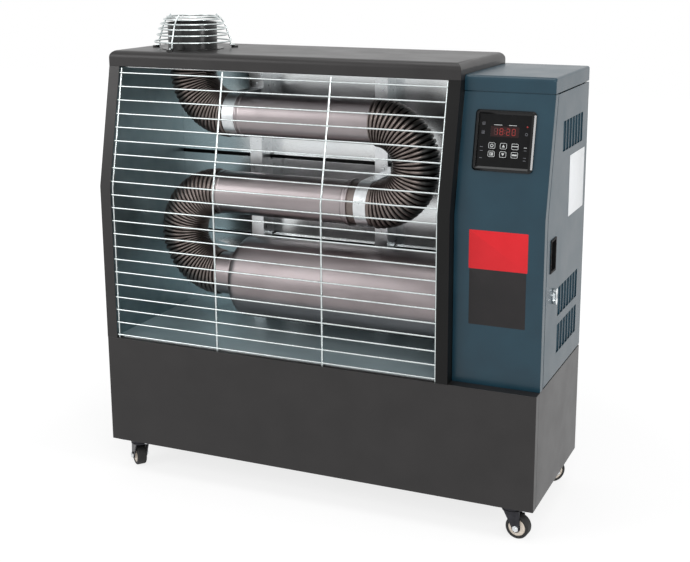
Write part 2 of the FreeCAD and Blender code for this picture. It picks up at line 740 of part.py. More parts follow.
liner_side = front_line(Z_DECK, z_liner_top, LINER_SETBACK) + [(y_liner, z_liner_top), (y_liner, Z_DECK)]
right_liner = prism_x(liner_side, x_liner_end, x_liner_end + LINER)
right_liner = right_liner.cut(along_x(CHAMBER_RADIUS + CHAMBER_HOLE_GAP, low_axis,
                                      x_liner_end - OVERCUT, x_liner_end + LINER + OVERCUT))
save("reflector_sides", group([prism_x(liner_side, x_liner - LINER, x_liner), right_liner]))

# Front guard: wires behind the frame strips, welded to four uprights.
wires = []
wire_pitch = (Z_CAP - WIRE_DROP - Z_DECK - WIRE_RISE) / (WIRE_COUNT - 1)
for i in range(WIRE_COUNT):
    z = Z_DECK + WIRE_RISE + i * wire_pitch
    behind = WIRE_RADIUS if z < Z_KNEE else WIRE_RADIUS / math.cos(LEAN)
    wire_axis = V(0, front_y(z) + SHEET + behind, z)
    wires.append(along_x(WIRE_RADIUS, wire_axis, X_LEFT + WIRE_INSET, X_DIVIDER - WIRE_INSET))
weld = WIRE_RADIUS * 2 + UPRIGHT_RADIUS - WELD_SINK
deep = SHEET + weld
lean_deep = SHEET + weld / math.cos(LEAN)
upright_top = Z_CAP - UPRIGHT_TOP_GAP
upright_knee = Z_KNEE + (deep - lean_deep) / SLOPE
upright_step = (X_DIVIDER - X_LEFT - UPRIGHT_INSET * 2) / (UPRIGHT_COUNT - 1)
for i in range(UPRIGHT_COUNT):
    x = X_LEFT + UPRIGHT_INSET + i * upright_step
    wires.append(swept([V(x, Y_FRONT + deep, Z_DECK), V(x, Y_FRONT + deep, upright_knee),
                        V(x, front_y(upright_top) + lean_deep, upright_top)], UPRIGHT_RADIUS, UPRIGHT_BEND))
save("guard_grille", wires[0].multiFuse(wires[1:]))

# Posts behind the tubes, and the straps that hold the tubes to them.
z_post = z_liner_top - POST_TOP_GAP
posts = []
straps = []
inner_r = TUBE_RADIUS + FIT_GAP
outer_r = inner_r + STRAP
for x0, strap_a, axis in strap_runs:
    post = box(x0, x0 + POST_WIDTH, y_post, y_liner - LINER, Z_DECK, z_post)
    post = post.cut(box(x0 + POST_SHEET, x0 + POST_WIDTH - POST_SHEET, y_post + POST_SHEET, y_liner,
                        Z_DECK - OVERCUT, z_post + OVERCUT))
    for split in liner_splits:
        post = post.cut(box(x0 - OVERCUT, x0 + POST_WIDTH + OVERCUT, y_liner - POST_NOTCH, y_liner,
                            split - LINER_SLOT, split + LINER_SLOT))
    strap_b = strap_a + STRAP_WIDTH
    x_screw = (max(x0, strap_a) + min(x0 + POST_WIDTH, strap_b)) / 2

    def loop(r):
        flat = box(strap_a, strap_b, axis.y, y_post, axis.z - r, axis.z + r)
        return along_x(r, axis, strap_a, strap_b).fuse(flat)

    band = fuse([
        loop(outer_r).cut(loop(inner_r)),
        box(strap_a, strap_b, y_post - STRAP, y_post, axis.z + inner_r, axis.z + inner_r + STRAP_FOOT),
        box(strap_a, strap_b, y_post - STRAP, y_post, axis.z - inner_r - STRAP_FOOT, axis.z - inner_r),
    ])
    for z in (axis.z + inner_r + STRAP_SCREW, axis.z - inner_r - STRAP_SCREW):
        seat = V(x_screw, y_post - STRAP, z)
        grip = STRAP + POST_SHEET
        drill = rod(SCREW_RADIUS + FIT_GAP, seat - BACKWARD, seat + BACKWARD * (grip + OVERCUT))
        band = band.cut(drill)
        post = post.cut(drill)
        screws.append(screw(seat, -BACKWARD, SCREW_RADIUS, SCREW_HEAD, SCREW_HEAD_LENGTH, grip))
    posts.append(post)
    straps.append(band)
save("support_posts", group(posts))
save("tube_straps", group(straps))
save("casing_screws", group(screws))


# Radiant tube run.
def ring_at(point, along, radius):
    # circle square to the path whose own X axis stays along Y
    edge = Part.makeCircle(radius)
    turn = FreeCAD.Rotation(BACKWARD, along.cross(BACKWARD), along, "ZXY")
    edge.Placement = FreeCAD.Placement(point, turn)
    return Part.Wire(edge)


def arc_path(center, radius, begin, finish):
    # point and direction at a distance along an arc, straight beyond both its ends
    turn = 1.0 if finish > begin else -1.0
    length = radius * math.radians(abs(finish - begin))

    def path(d):
        on_arc = min(max(d, 0.0), length)
        a = math.radians(begin) + turn * on_arc / radius
        along = V(-math.sin(a) * turn, 0, math.cos(a) * turn)
        point = center + V(radius * math.cos(a), 0, radius * math.sin(a))
        return point + along * (d - on_arc), along
    return path, length


def bend(center, radius, begin, finish, ribs, before, ribbed_tail, after):
    # ruled skin through four rings for each rib, plain cuffs at both ends, bore taken out
    path, length = arc_path(center, radius, begin, finish)
    run = length + ribbed_tail
    pitch = run / ribs
    stops = [(-before, TUBE_RADIUS), (-CUFF_STEP * 2, TUBE_RADIUS), (-CUFF_STEP, RIB_ROOT)]
    for i in range(ribs):
        for part, there in ((0.0, RIB_ROOT), (0.25, RIB_CREST), (0.5, RIB_CREST), (0.75, RIB_ROOT)):
            stops.append(((i + part) * pitch, there))
    stops += [(run, RIB_ROOT), (run + CUFF_STEP, RIB_ROOT), (run + CUFF_STEP * 2, TUBE_RADIUS),
              (run + after, TUBE_RADIUS)]
    body = Part.makeLoft([ring_at(*path(d), r) for d, r in stops], True, True)
    start, along = path(0.0)
    end, ahead = path(length)
    disc = Part.Face(Part.Wire(Part.makeCircle(BEND_BORE, start, along)))
    axis = -BACKWARD if finish > begin else BACKWARD
    body = body.cut(disc.revolve(center, axis, abs(finish - begin)))
    body = body.cut(rod(BEND_BORE, start - along * (before + OVERCUT), start))
    return body.cut(rod(BEND_BORE, end, end + ahead * (ribbed_tail + after + OVERCUT)))


x_lower_bend = X_LEFT + LOWER_BEND_X
collar_low = Z_CAP_TOP - SHEET - COLLAR_BELOW_CAP
elbow_rise = collar_low - Z_TOP - ELBOW_RADIUS
save("upper_bend", bend(V(x_upper_bend, Y_TUBE, (Z_TOP + Z_MID) / 2), UPPER_SPAN / 2, 90.0, -90.0,
                        BEND_RIBS, CUFF_SHORT, 0.0, CUFF_LENGTH))
save("lower_bend", bend(V(x_lower_bend, Y_TUBE, (Z_MID + Z_LOW) / 2), LOWER_SPAN / 2, 90.0, 270.0,
                        BEND_RIBS, CUFF_SHORT, 0.0, CUFF_SHORT))
save("exhaust_elbow", bend(V(x_elbow, Y_TUBE, Z_TOP + ELBOW_RADIUS), ELBOW_RADIUS, 270.0, 180.0,
                           ELBOW_RIBS, CUFF_SHORT, elbow_rise - ELBOW_PLAIN, ELBOW_PLAIN))

tube_bore = TUBE_RADIUS - TUBE_WALL
x_top_a = x_elbow + CUFF_SHORT
x_top_b = x_upper_bend - CUFF_SHORT
save("radiant_tube_top", along_x(TUBE_RADIUS, top_axis, x_top_a, x_top_b).cut(
    along_x(tube_bore, top_axis, x_top_a, x_top_b)))
x_mid_a = x_lower_bend + CUFF_SHORT
x_mid_b = x_upper_bend - CUFF_LENGTH
mid_tube = along_x(TUBE_RADIUS, mid_axis, x_mid_a, x_mid_b).fuse(
    along_x(TUBE_RADIUS + MID_TUBE_BEAD, mid_axis, x_mid_b - BEAD_LENGTH, x_mid_b))
save("radiant_tube_middle", mid_tube.cut(along_x(tube_bore, mid_axis, x_mid_a, x_mid_b)))

# Combustion chamber, turned about its axis: neck, collar, dome, drum, end ring.
x_neck = x_lower_bend + NECK_LENGTH
x_drum = x_neck + DOME_LENGTH
x_drum_end = X_DIVIDER - CHAMBER_STOP
x_ring = X_DIVIDER - SHEET
ring_radius = BLAST_RADIUS + END_RING
dome = [(x_neck + d, CHAMBER_RADIUS - drop) for d, drop in (DOME_MIDDLE, DOME_EDGE)]
collar_r = TUBE_RADIUS + NECK_COLLAR
chamber_line = [
    (x_mid_a, TUBE_RADIUS), (x_neck, TUBE_RADIUS), (x_neck, collar_r), (x_neck + NECK_COLLAR, collar_r),
    (x_neck + NECK_COLLAR, collar_r + NECK_STEP), *dome, (x_drum, CHAMBER_RADIUS),
    (x_drum_end, CHAMBER_RADIUS), (x_drum_end + CHAMBER_TAPER, ring_radius), (x_ring, ring_radius),
]
wall = CHAMBER_WALL
chamber_bore = [
    (x_ring, BLAST_RADIUS + BLAST_FIT), (x_ring - END_RING_THICK, BLAST_RADIUS + BLAST_FIT),
    (x_ring - END_RING_THICK, ring_radius - wall), (x_drum_end + CHAMBER_TAPER - wall, ring_radius - wall),
    (x_drum_end, CHAMBER_RADIUS - wall), (x_drum, CHAMBER_RADIUS - wall),
    *[(x + wall, r - wall) for x, r in reversed(dome)], (x_neck + NECK_COLLAR + wall, collar_r - wall),
    (x_neck + wall, collar_r - wall), (x_neck + wall, tube_bore), (x_mid_a, tube_bore),
]
outline = [V(x, low_axis.y, low_axis.z + r) for x, r in chamber_line + chamber_bore]
chamber_face = Part.Face(Part.makePolygon(outline + outline[:1]))
save("combustion_chamber", chamber_face.revolve(low_axis, V(1, 0, 0), 360))

# Flue collar on the cap, and the wire guard round it.
collar_top = Z_CAP_TOP + COLLAR_ABOVE_CAP
collar = fuse([
    along_z(COLLAR_RADIUS, collar_axis, collar_low, collar_top),
    along_z(COLLAR_RADIUS + COLLAR_FLANGE, collar_axis, Z_CAP_TOP, Z_CAP_TOP + SHEET),
])
collar = collar.cut(along_z(COLLAR_RADIUS - COLLAR_WALL, collar_axis, collar_low + SHEET,
                            collar_top + OVERCUT))
save("exhaust_collar", collar.cut(along_z(BEND_BORE, collar_axis, collar_low - OVERCUT, collar_top)))

flue_wires = []
on_cap = V(collar_axis.x, collar_axis.y, Z_CAP_TOP)
for radius, height in FLUE_RINGS:
    flue_wires.append(Part.makeTorus(radius, FLUE_WIRE, on_cap + UP * height))
sunk = FLUE_WIRE * 2 - WELD_SINK
foot_side = sunk * math.cos(math.radians(FLUE_FOOT_WELD))
ring_side = sunk * math.cos(math.radians(FLUE_RING_WELD))
ring_lift = sunk * math.sin(math.radians(FLUE_RING_WELD))
foot_rise = FOOT_THICK + FLUE_WIRE - WELD_SINK
foot_radius = FLUE_RINGS[0][0] + FLUE_FOOT
for turn in FLUE_RIB_TURNS:
    a = math.radians(turn)
    out = V(math.cos(a), math.sin(a), 0)
    knots = [on_cap + UP * foot_rise + out * foot_radius,
             on_cap + UP * foot_rise + out * (FLUE_RINGS[0][0] + foot_side)]
    knots += [on_cap + UP * (height + ring_lift) + out * (radius + ring_side)
              for radius, height in FLUE_RINGS]
    tip_radius, tip_height = FLUE_RINGS[-1]
    knots.append(on_cap + UP * (tip_height + FLUE_TIP_RISE) + out * tip_radius)
    rib = [rod(FLUE_WIRE, p, q) for p, q in zip(knots[:-1], knots[1:])]
    rib += [Part.makeSphere(FLUE_WIRE, p) for p in knots[1:-1]]
    rib.append(Part.makeCylinder(FOOT_PAD, FOOT_THICK, on_cap + out * foot_radius))
    flue_wires.append(rib[0].multiFuse(rib[1:]))
save("exhaust_guard", flue_wires[0].multiFuse(flue_wires[1:]))

# Burner and blower, on the axis of the combustion chamber.
x_blast = X_DIVIDER - SHEET - BLAST_REACH
x_housing = X_DIVIDER + HOUSING_STOP
x_delivery = (X_DIVIDER + x_housing) / 2
x_nozzle_end = x_housing - NOZZLE_STOP
blast_bore = BLAST_RADIUS - BLAST_WALL
blast = along_x(BLAST_RADIUS, low_axis, x_blast, x_housing)
blast = blast.cut(along_x(blast_bore, low_axis, x_blast, x_housing))
spider_reach = BLAST_RADIUS - BLAST_WALL / 2
nozzle = fuse([
    along_x(NOZZLE_RADIUS, low_axis, x_blast + NOZZLE_SETBACK, x_nozzle_end),
    box(x_nozzle_end - SPIDER_LENGTH, x_nozzle_end, low_axis.y - spider_reach, low_axis.y + spider_reach,
        low_axis.z - SPIDER_HEIGHT / 2, low_axis.z + SPIDER_HEIGHT / 2),
    blast,
])
pipe_end = V(x_delivery, Y_TUBE - BLAST_RADIUS + PIPE_INTO_BLAST, Z_LOW)
pipe_mouth = V(x_delivery, Y_TUBE - BLAST_RADIUS - BLAST_WALL, Z_LOW)
save("burner_nozzle", nozzle.cut(rod(PIPE_RADIUS + FIT_GAP, pipe_mouth, pipe_end)))

x_housing_end = x_housing + HOUSING_LENGTH
housing = along_x(HOUSING_RADIUS, low_axis, x_housing, x_housing_end)
housing = housing.cut(along_x(HOUSING_RADIUS - HOUSING_WALL, low_axis, x_housing + HOUSING_WALL,
                              x_housing_end - HOUSING_WALL))
housing = housing.cut(along_x(blast_bore, low_axis, x_housing - OVERCUT,
                              x_housing + HOUSING_WALL + OVERCUT))
housing = housing.cut(along_x(HOUSING_INLET, low_axis, x_housing_end - HOUSING_WALL - OVERCUT,
                              x_housing_end + OVERCUT))
save("blower_housing", housing)

x_wheel = x_housing + BLOWER_STOP
x_wheel_end = x_wheel + BLOWER_LENGTH
x_motor = x_housing_end + MOTOR_STOP
blade = box(x_wheel + BLOWER_PLATE / 2, x_wheel_end, -BLADE_THICK / 2, BLADE_THICK / 2,
            BLOWER_INNER, BLOWER_RADIUS - BLADE_EDGE)
blade.rotate(V(0, 0, (BLOWER_INNER + BLOWER_RADIUS) / 2), V(1, 0, 0), BLADE_TURN)
rim = along_x(BLOWER_RADIUS, low_axis, x_wheel_end - BLOWER_PLATE, x_wheel_end)
blower = [
    along_x(BLOWER_RADIUS, low_axis, x_wheel, x_wheel + BLOWER_PLATE),
    rim.cut(along_x(BLOWER_RADIUS - BLOWER_RIM, low_axis, x_wheel_end - BLOWER_PLATE, x_wheel_end)),
    along_x(BLOWER_HUB_RADIUS, low_axis, x_wheel, x_wheel + BLOWER_HUB_LENGTH),
    along_x(SHAFT_RADIUS, low_axis, x_wheel, x_motor + SHAFT_REACH),
]
for i in range(BLOWER_BLADES):
    turned = blade.copy()
    turned.rotate(V(0, 0, 0), V(1, 0, 0), 360.0 * i / BLOWER_BLADES)
    turned.translate(low_axis)
    blower.append(turned)
save("blower_wheel", blower[0].multiFuse(blower[1:]))

motor = [along_x(MOTOR_RADIUS, low_axis, x_motor, x_motor + MOTOR_LENGTH)]
for i in range(MOTOR_LEGS):
    a = math.radians(90 + 360.0 * i / MOTOR_LEGS)
    leg_axis = low_axis + V(0, math.cos(a), math.sin(a)) * LEG_CIRCLE
    motor.append(along_x(MOTOR_LEG, leg_axis, x_housing_end, x_motor + OVERCUT))
save("blower_motor", fuse(motor).cut(
    along_x(SHAFT_RADIUS + RUN_FIT, low_axis, x_motor - OVERCUT, x_motor + SHAFT_REACH + SHAFT_END_GAP)))

y_coil_end = Y_BACK - COIL_FROM_BACK
y_coil = y_coil_end - COIL_FLANGE_DEPTH
z_coil = Z_LOW + COIL_RISE
z_coil_top = z_coil + COIL_FLANGE_HEIGHT
x_coil = X_DIVIDER + COIL_THICK / 2
save("ignition_transformer", fuse([
    box(X_DIVIDER, X_DIVIDER + COIL_FLANGE, y_coil, y_coil_end, z_coil, z_coil_top),
    box(X_DIVIDER, X_DIVIDER + COIL_THICK, y_coil + COIL_EDGE_Y, y_coil_end - COIL_EDGE_Y,
        z_coil + COIL_EDGE_Z, z_coil_top - COIL_EDGE_Z),
    *[along_z(COIL_TERMINAL, V(x_coil, y, 0), z_coil, z_coil + COIL_EDGE_Z + OVERCUT)
      for y in (y_coil + COIL_TERMINAL_INSET, y_coil_end - COIL_TERMINAL_INSET)],
]))

# Fuel tank, filler pocket and cap, pump and pipes.
y_tank = Y_FRONT + TANK_FRONT
y_tank_end = Y_BACK - TANK_FROM_BACK
filler_axis = V((x_pocket + x_tank_end) / 2, Y_BACK - FILLER_FROM_BACK, 0)
z_neck = z_pocket + SHEET + NECK_RISE
foot_places = (x_tank + TANK_FOOT_INSET, x_tank_end - TANK_FOOT_INSET - TANK_FOOT)
tank = fuse([
    box(x_tank, x_tank_end, y_tank, y_tank_end, z_tank, z_tank_top),
    along_z(NECK_RADIUS, filler_axis, z_tank_top - OVERCUT, z_neck),
    *[box(x, x + TANK_FOOT, y_tank, y_tank_end, Z_FLOOR, z_tank) for x in foot_places],
])
tank = tank.cut(box(x_tank + TANK_WALL, x_tank_end - TANK_WALL, y_tank + TANK_WALL, y_tank_end - TANK_WALL,
                    z_tank + TANK_WALL, z_tank_top - TANK_WALL))
tank = tank.cut(along_z(NECK_BORE, filler_axis, z_tank_top - TANK_WALL - OVERCUT, z_neck + OVERCUT))
save("fuel_tank", tank.cut(along_z(PIPE_RADIUS + FIT_GAP, suction, z_tank_top - TANK_WALL - OVERCUT,
                                   z_tank_top + OVERCUT)))

pocket = box(x_pocket, x_tank_end, y_pocket, Y_BACK, z_pocket, z_pocket_top)
pocket = pocket.cut(box(x_pocket + SHEET, x_tank_end - SHEET, y_pocket + SHEET, Y_BACK + OVERCUT,
                        z_pocket + SHEET, z_pocket_top - SHEET))
save("filler_pocket", pocket.cut(along_z(NECK_RADIUS + FIT_GAP, filler_axis, z_pocket - OVERCUT,
                                         z_pocket + SHEET + OVERCUT)))

z_filler = z_pocket + SHEET + FILLER_CAP_GAP
z_filler_top = z_filler + FILLER_CAP_HEIGHT
filler = along_z(FILLER_CAP_RADIUS, filler_axis, z_filler, z_filler_top)
filler_cuts = [along_z(NECK_RADIUS + RUN_FIT, filler_axis, z_filler - OVERCUT, z_neck + MOVE_GAP)]
for i in range(GRIP_COUNT):
    a = math.radians(360.0 * i / GRIP_COUNT)
    grip_axis = filler_axis + V(math.cos(a), math.sin(a), 0) * (FILLER_CAP_RADIUS + GRIP_OFFSET)
    filler_cuts.append(along_z(GRIP_RADIUS, grip_axis, z_filler - OVERCUT, z_filler_top + OVERCUT))
save("filler_cap", filler.cut(filler_cuts))

z_pump = Z_DECK + PUMP_FOOT
z_pump_top = z_pump + PUMP_HEIGHT
port = V(pump_axis.x, pump_axis.y, Z_DECK + PORT_HEIGHT)
port_end = port + BACKWARD * (PUMP_RADIUS + PORT_LENGTH)
save("fuel_pump", fuse([
    slab(pump_axis.x, pump_axis.y, PUMP_FOOT_WIDTH, PUMP_FOOT_DEPTH, Z_DECK, z_pump),
    along_z(PUMP_RADIUS, pump_axis, Z_DECK + PUMP_FOOT / 2, z_pump_top),
    along_z(PORT_RADIUS, pump_axis, z_pump_top - OVERCUT, z_pump_top + PORT_LENGTH),
    rod(PORT_RADIUS, port, port_end),
]))

suction_pipe = swept([V(suction.x, suction.y, z_tank + SUCTION_FLOOR_GAP),
                      V(suction.x, suction.y, port.z), port_end], PIPE_RADIUS, PIPE_BEND)
delivery_pipe = swept([V(pump_axis.x, pump_axis.y, z_pump_top + PORT_LENGTH),
                       V(pump_axis.x, pump_axis.y, Z_LOW),
                       V(x_delivery, pump_axis.y, Z_LOW), pipe_end], PIPE_RADIUS, PIPE_BEND)
save("fuel_pipes", group([suction_pipe, delivery_pipe]))


# Control panel, in panel coordinates: across, up the slope, outward.
def tile(u, v, wide, tall, w0, w1):
    return box(u - wide / 2, u + wide / 2, v - tall / 2, v + tall / 2, w0, w1)


bezel = tile(0, 0, PANEL_WIDTH, PANEL_HEIGHT, 0, PANEL_PROUD)
bezel = bezel.makeFillet(PANEL_CORNER, [e for e in bezel.Edges
                                        if not near(e.Vertexes[0].Z, e.Vertexes[-1].Z)])
through = (-OVERCUT, PANEL_FACE + OVERCUT)
key_spots = [(u, v) for v in KEY_V for u in KEY_U]
bezel = bezel.cut([
    tile(0, 0, PANEL_WIDTH - PANEL_RIM * 2, PANEL_HEIGHT - PANEL_RIM * 2,
         PANEL_FACE, PANEL_PROUD + OVERCUT),
    tile(0, WINDOW_V, WINDOW_WIDTH, WINDOW_HEIGHT, *through),
    *[tile(u, v, KEY_WIDTH + KEY_CLEARANCE * 2, KEY_HEIGHT + KEY_CLEARANCE * 2, *through)
      for u, v in key_spots],
])
board_size = PANEL_CUTOUT - BOARD_EDGE * 2
post_at = board_size / 2 - BOARD_POST_EDGE
board_posts = [rod(BOARD_POST, V(u, v, -BOARD_BEHIND), V(u, v, PANEL_FACE / 2))
               for u in (-post_at, post_at) for v in (-post_at, post_at)]
save("control_bezel", on_panel(fuse([bezel] + board_posts)))

window_front = PANEL_FACE + WINDOW_PROUD
window_back = window_front - WINDOW_THICK
save("display_window", on_panel(tile(0, WINDOW_V, WINDOW_WIDTH - FIT_GAP * 2, WINDOW_HEIGHT - FIT_GAP * 2,
                                     window_back, window_front)))

flange_top = -KEY_REST_GAP
flange_low = flange_top - KEY_FLANGE_THICK
switch_top = flange_low - KEY_TRAVEL - KEY_REST_GAP
board_back = -BOARD_BEHIND - BOARD_THICK
board_seat = -BOARD_BEHIND - BOARD_SEAT
save("control_board", on_panel(fuse([
    tile(0, 0, board_size, board_size, board_back, -BOARD_BEHIND),
    tile(0, WINDOW_V, WINDOW_WIDTH - BOARD_EDGE, WINDOW_HEIGHT - BOARD_EDGE, board_seat, window_back),
    tile(RELAY_U, RELAY_V, RELAY_WIDTH, RELAY_HEIGHT, board_back - RELAY_THICK, board_seat),
    tile(0, TERMINAL_V, TERMINAL_WIDTH, TERMINAL_HEIGHT, board_back - TERMINAL_THICK, board_seat),
    *[tile(u, v, SWITCH_SIZE, SWITCH_SIZE, board_seat, switch_top) for u, v in key_spots],
])))

for name, (u, v) in zip(KEY_NAMES, key_spots):
    save(name, on_panel(fuse([
        tile(u, v, KEY_WIDTH, KEY_HEIGHT, flange_low, PANEL_FACE + KEY_PROUD),
        tile(u, v, KEY_WIDTH + KEY_FLANGE * 2, KEY_HEIGHT + KEY_FLANGE * 2, flange_low, flange_top),
    ])))


# Mains inlet: flange outside, body inside, cavity open to the back.
def inlet_block(wide, tall, y0, y1, dx=0.0, dz=0.0):
    z = inlet_z + dz - tall / 2
    return slab(inlet_x + dx, (y0 + y1) / 2, wide, y1 - y0, z, z + tall)


inlet_face = Y_BACK + INLET_FLANGE
inlet_floor = inlet_face - INLET_CAVITY_DEPTH
inlet = fuse([
    inlet_block(INLET_FLANGE_WIDTH, INLET_FLANGE_HEIGHT, Y_BACK, inlet_face),
    inlet_block(INLET_BODY_WIDTH, INLET_BODY_HEIGHT, Y_BACK - INLET_BODY_DEPTH, inlet_face),
])
inlet = inlet.cut(inlet_block(INLET_CAVITY_WIDTH, INLET_CAVITY_HEIGHT, inlet_floor, inlet_face + OVERCUT))
pin_spots = ((-INLET_PIN_SPREAD, -INLET_PIN_OFFSET), (0.0, INLET_PIN_OFFSET),
             (INLET_PIN_SPREAD, -INLET_PIN_OFFSET))
pin_end = inlet_floor + INLET_PIN_LENGTH
save("mains_inlet", fuse([inlet] + [
    inlet_block(INLET_PIN_WIDTH, INLET_PIN_HEIGHT, inlet_floor - OVERCUT, pin_end, dx, dz)
    for dx, dz in pin_spots]))

# Casters, built with the trail along +X and the swivel axis on Z, then set in place.
z_plate = Z_BASE - PLATE_THICK
z_race = z_plate - RACE_HEIGHT
z_fork_top = z_race - MOVE_GAP
z_fork = z_fork_top - FORK_TOP
axle = V(CASTER_TRAIL, 0, WHEEL_RADIUS)
leg_in = FORK_INNER / 2
leg_out = leg_in + FORK_LEG
swivel = V(0, 0, 0)


def along_axle(radius, y0, y1):
    return rod(radius, axle + V(0, y0, 0), axle + V(0, y1, 0))


def leg(y0, y1):
    # plate that narrows from the fork's crown to a round tip about the axle
    corners = [V(-FORK_AHEAD, y0, z_fork_top), V(FORK_BEHIND, y0, z_fork_top),
               V(axle.x + FORK_TIP, y0, axle.z), V(axle.x - FORK_TIP, y0, axle.z)]
    plate_part = Part.Face(Part.makePolygon(corners + corners[:1])).extrude(V(0, y1 - y0, 0))
    return plate_part.fuse(along_axle(FORK_TIP, y0, y1))


fork = fuse([
    along_z(FORK_RADIUS, swivel, z_fork, z_fork_top),
    leg(leg_in, leg_out),
    leg(-leg_out, -leg_in),
    along_axle(AXLE_RADIUS, -leg_out, leg_out),
    along_axle(AXLE_HEAD, leg_out, leg_out + AXLE_HEAD_LENGTH),
    along_axle(AXLE_HEAD, -leg_out - AXLE_HEAD_LENGTH, -leg_out),
])
fork = fork.cut(along_z(KINGPIN_RADIUS + RUN_FIT, swivel, z_fork - OVERCUT, z_fork_top + OVERCUT))

hub_radius = WHEEL_RADIUS - TYRE_DEPTH
half_wheel = WHEEL_WIDTH / 2
half_boss = leg_in - MOVE_GAP
hub = fuse([
    along_axle(hub_radius, HUB_SETBACK - half_wheel, half_wheel - HUB_SETBACK),
    along_axle(HUB_BOSS, -half_boss, half_boss),
]).cut(along_axle(AXLE_RADIUS + RUN_FIT, -leg_in, leg_in))
tyre = along_axle(WHEEL_RADIUS, -half_wheel, half_wheel)
tyre = tyre.makeFillet(TYRE_ROUNDING, [e for e in tyre.Edges if e.Closed])
tyre = tyre.cut(along_axle(hub_radius + FIT_GAP, -leg_in, leg_in))

z_nut = z_fork - MOVE_GAP - KINGPIN_NUT_HEIGHT
plate = fuse([
    slab(0, 0, PLATE_LENGTH, PLATE_WIDTH, z_plate, Z_BASE),
    along_z(RACE_RADIUS, swivel, z_race, z_plate),
    along_z(KINGPIN_RADIUS, swivel, z_nut, z_plate),
    along_z(KINGPIN_NUT, swivel, z_nut, z_nut + KINGPIN_NUT_HEIGHT),
])
bolt_x = PLATE_LENGTH / 2 - BOLT_EDGE
bolt_y = PLATE_WIDTH / 2 - BOLT_EDGE
plates = []
bolts = []
for corner_name, turn in CASTER_TURN.items():
    x = (X_LEFT + CASTER_INSET_X) if "left" in corner_name else (X_RIGHT - CASTER_INSET_X)
    y = (Y_FRONT + CASTER_INSET_Y) if "front" in corner_name else (Y_BACK - CASTER_INSET_Y)
    here = plate.copy()
    here.translate(V(x, y, 0))
    for seat in [V(x + dx, y + dy, z_plate) for dx in (-bolt_x, bolt_x) for dy in (-bolt_y, bolt_y)]:
        drill = along_z(BOLT_RADIUS + FIT_GAP, seat, z_plate - OVERCUT, Z_FLOOR + OVERCUT)
        here = here.cut(drill)
        chassis = chassis.cut(drill)
        bolts.append(screw(seat, -UP, BOLT_RADIUS, BOLT_HEAD, BOLT_HEAD_LENGTH, Z_FLOOR - z_plate))
    plates.append(here)
    for node, shape in (("caster_fork_", fork), ("caster_wheel_", group([hub, tyre]))):
        moved = shape.copy()
        moved.rotate(V(0, 0, 0), UP, turn)
        moved.translate(V(x, y, 0))
        save(node + corner_name, moved)
save("chassis_floor", chassis)
save("caster_plates", group(plates))
save("caster_bolts", group(bolts))
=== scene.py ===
# %% [markdown]
# # A wheeled infrared heater
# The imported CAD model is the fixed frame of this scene. Each piece made here sits where the frame says,
# rides on one of its bodies, and often stands for a CAD node that it dresses better. The frame is in
# metres, +Z up, with the guard and the keypad towards -Y.

# %% Load the frame
import json
import math

import bmesh
import bpy
from mathutils import Matrix, Vector

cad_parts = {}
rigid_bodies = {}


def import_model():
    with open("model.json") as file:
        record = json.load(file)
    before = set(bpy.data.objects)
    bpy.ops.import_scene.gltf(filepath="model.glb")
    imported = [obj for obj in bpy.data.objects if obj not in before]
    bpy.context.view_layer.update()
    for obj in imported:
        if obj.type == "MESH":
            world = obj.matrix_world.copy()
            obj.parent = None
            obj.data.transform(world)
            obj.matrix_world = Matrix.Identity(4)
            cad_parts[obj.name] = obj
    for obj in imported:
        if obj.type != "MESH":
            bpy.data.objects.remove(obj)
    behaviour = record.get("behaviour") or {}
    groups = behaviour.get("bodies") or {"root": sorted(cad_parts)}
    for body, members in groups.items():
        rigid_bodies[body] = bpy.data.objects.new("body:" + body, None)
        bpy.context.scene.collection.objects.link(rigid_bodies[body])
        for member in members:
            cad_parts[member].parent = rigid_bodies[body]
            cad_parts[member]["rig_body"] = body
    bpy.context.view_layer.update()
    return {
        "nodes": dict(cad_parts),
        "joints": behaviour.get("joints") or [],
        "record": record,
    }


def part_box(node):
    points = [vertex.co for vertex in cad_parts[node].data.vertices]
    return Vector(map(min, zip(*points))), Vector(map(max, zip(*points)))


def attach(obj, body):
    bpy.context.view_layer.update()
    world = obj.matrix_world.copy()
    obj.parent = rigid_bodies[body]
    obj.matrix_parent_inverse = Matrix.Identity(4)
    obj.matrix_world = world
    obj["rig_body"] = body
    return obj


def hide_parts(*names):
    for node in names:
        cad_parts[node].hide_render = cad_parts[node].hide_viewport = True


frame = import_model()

MM = 0.001
body_of = {node: thing["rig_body"] for node, thing in frame["nodes"].items()}
slot_of = {part["node"]: part["material_slot"] for part in frame["record"]["subparts"]}

# %% [markdown]
# ## Camera
# The heater is seen from the right of its front and a little above. A small shift of the lens holds the
# casing's upright edges closer to upright, as a product photographer does. It stays small, so that the
# heater is still in the picture when the camera goes round it.

# %% Camera
CAMERA_PLACE = (0.9831, -2.1649, 1.0766)
CAMERA_TILT = 77.24
CAMERA_PAN = 22.72
LENS_MM = 62.92
SENSOR_MM = 36.0
SHIFT_X = -0.0435
SHIFT_Y = -0.0812

lens = bpy.data.cameras.new("camera")
lens.lens = LENS_MM
lens.sensor_width = SENSOR_MM
lens.shift_x = SHIFT_X
lens.shift_y = SHIFT_Y
camera = bpy.data.objects.new("camera", lens)
camera.location = CAMERA_PLACE
camera.rotation_euler = (math.radians(CAMERA_TILT), 0, math.radians(CAMERA_PAN))
bpy.context.collection.objects.link(camera)
bpy.context.scene.camera = camera
bpy.context.scene.view_settings.view_transform = "Standard"
print("camera at", CAMERA_PLACE)
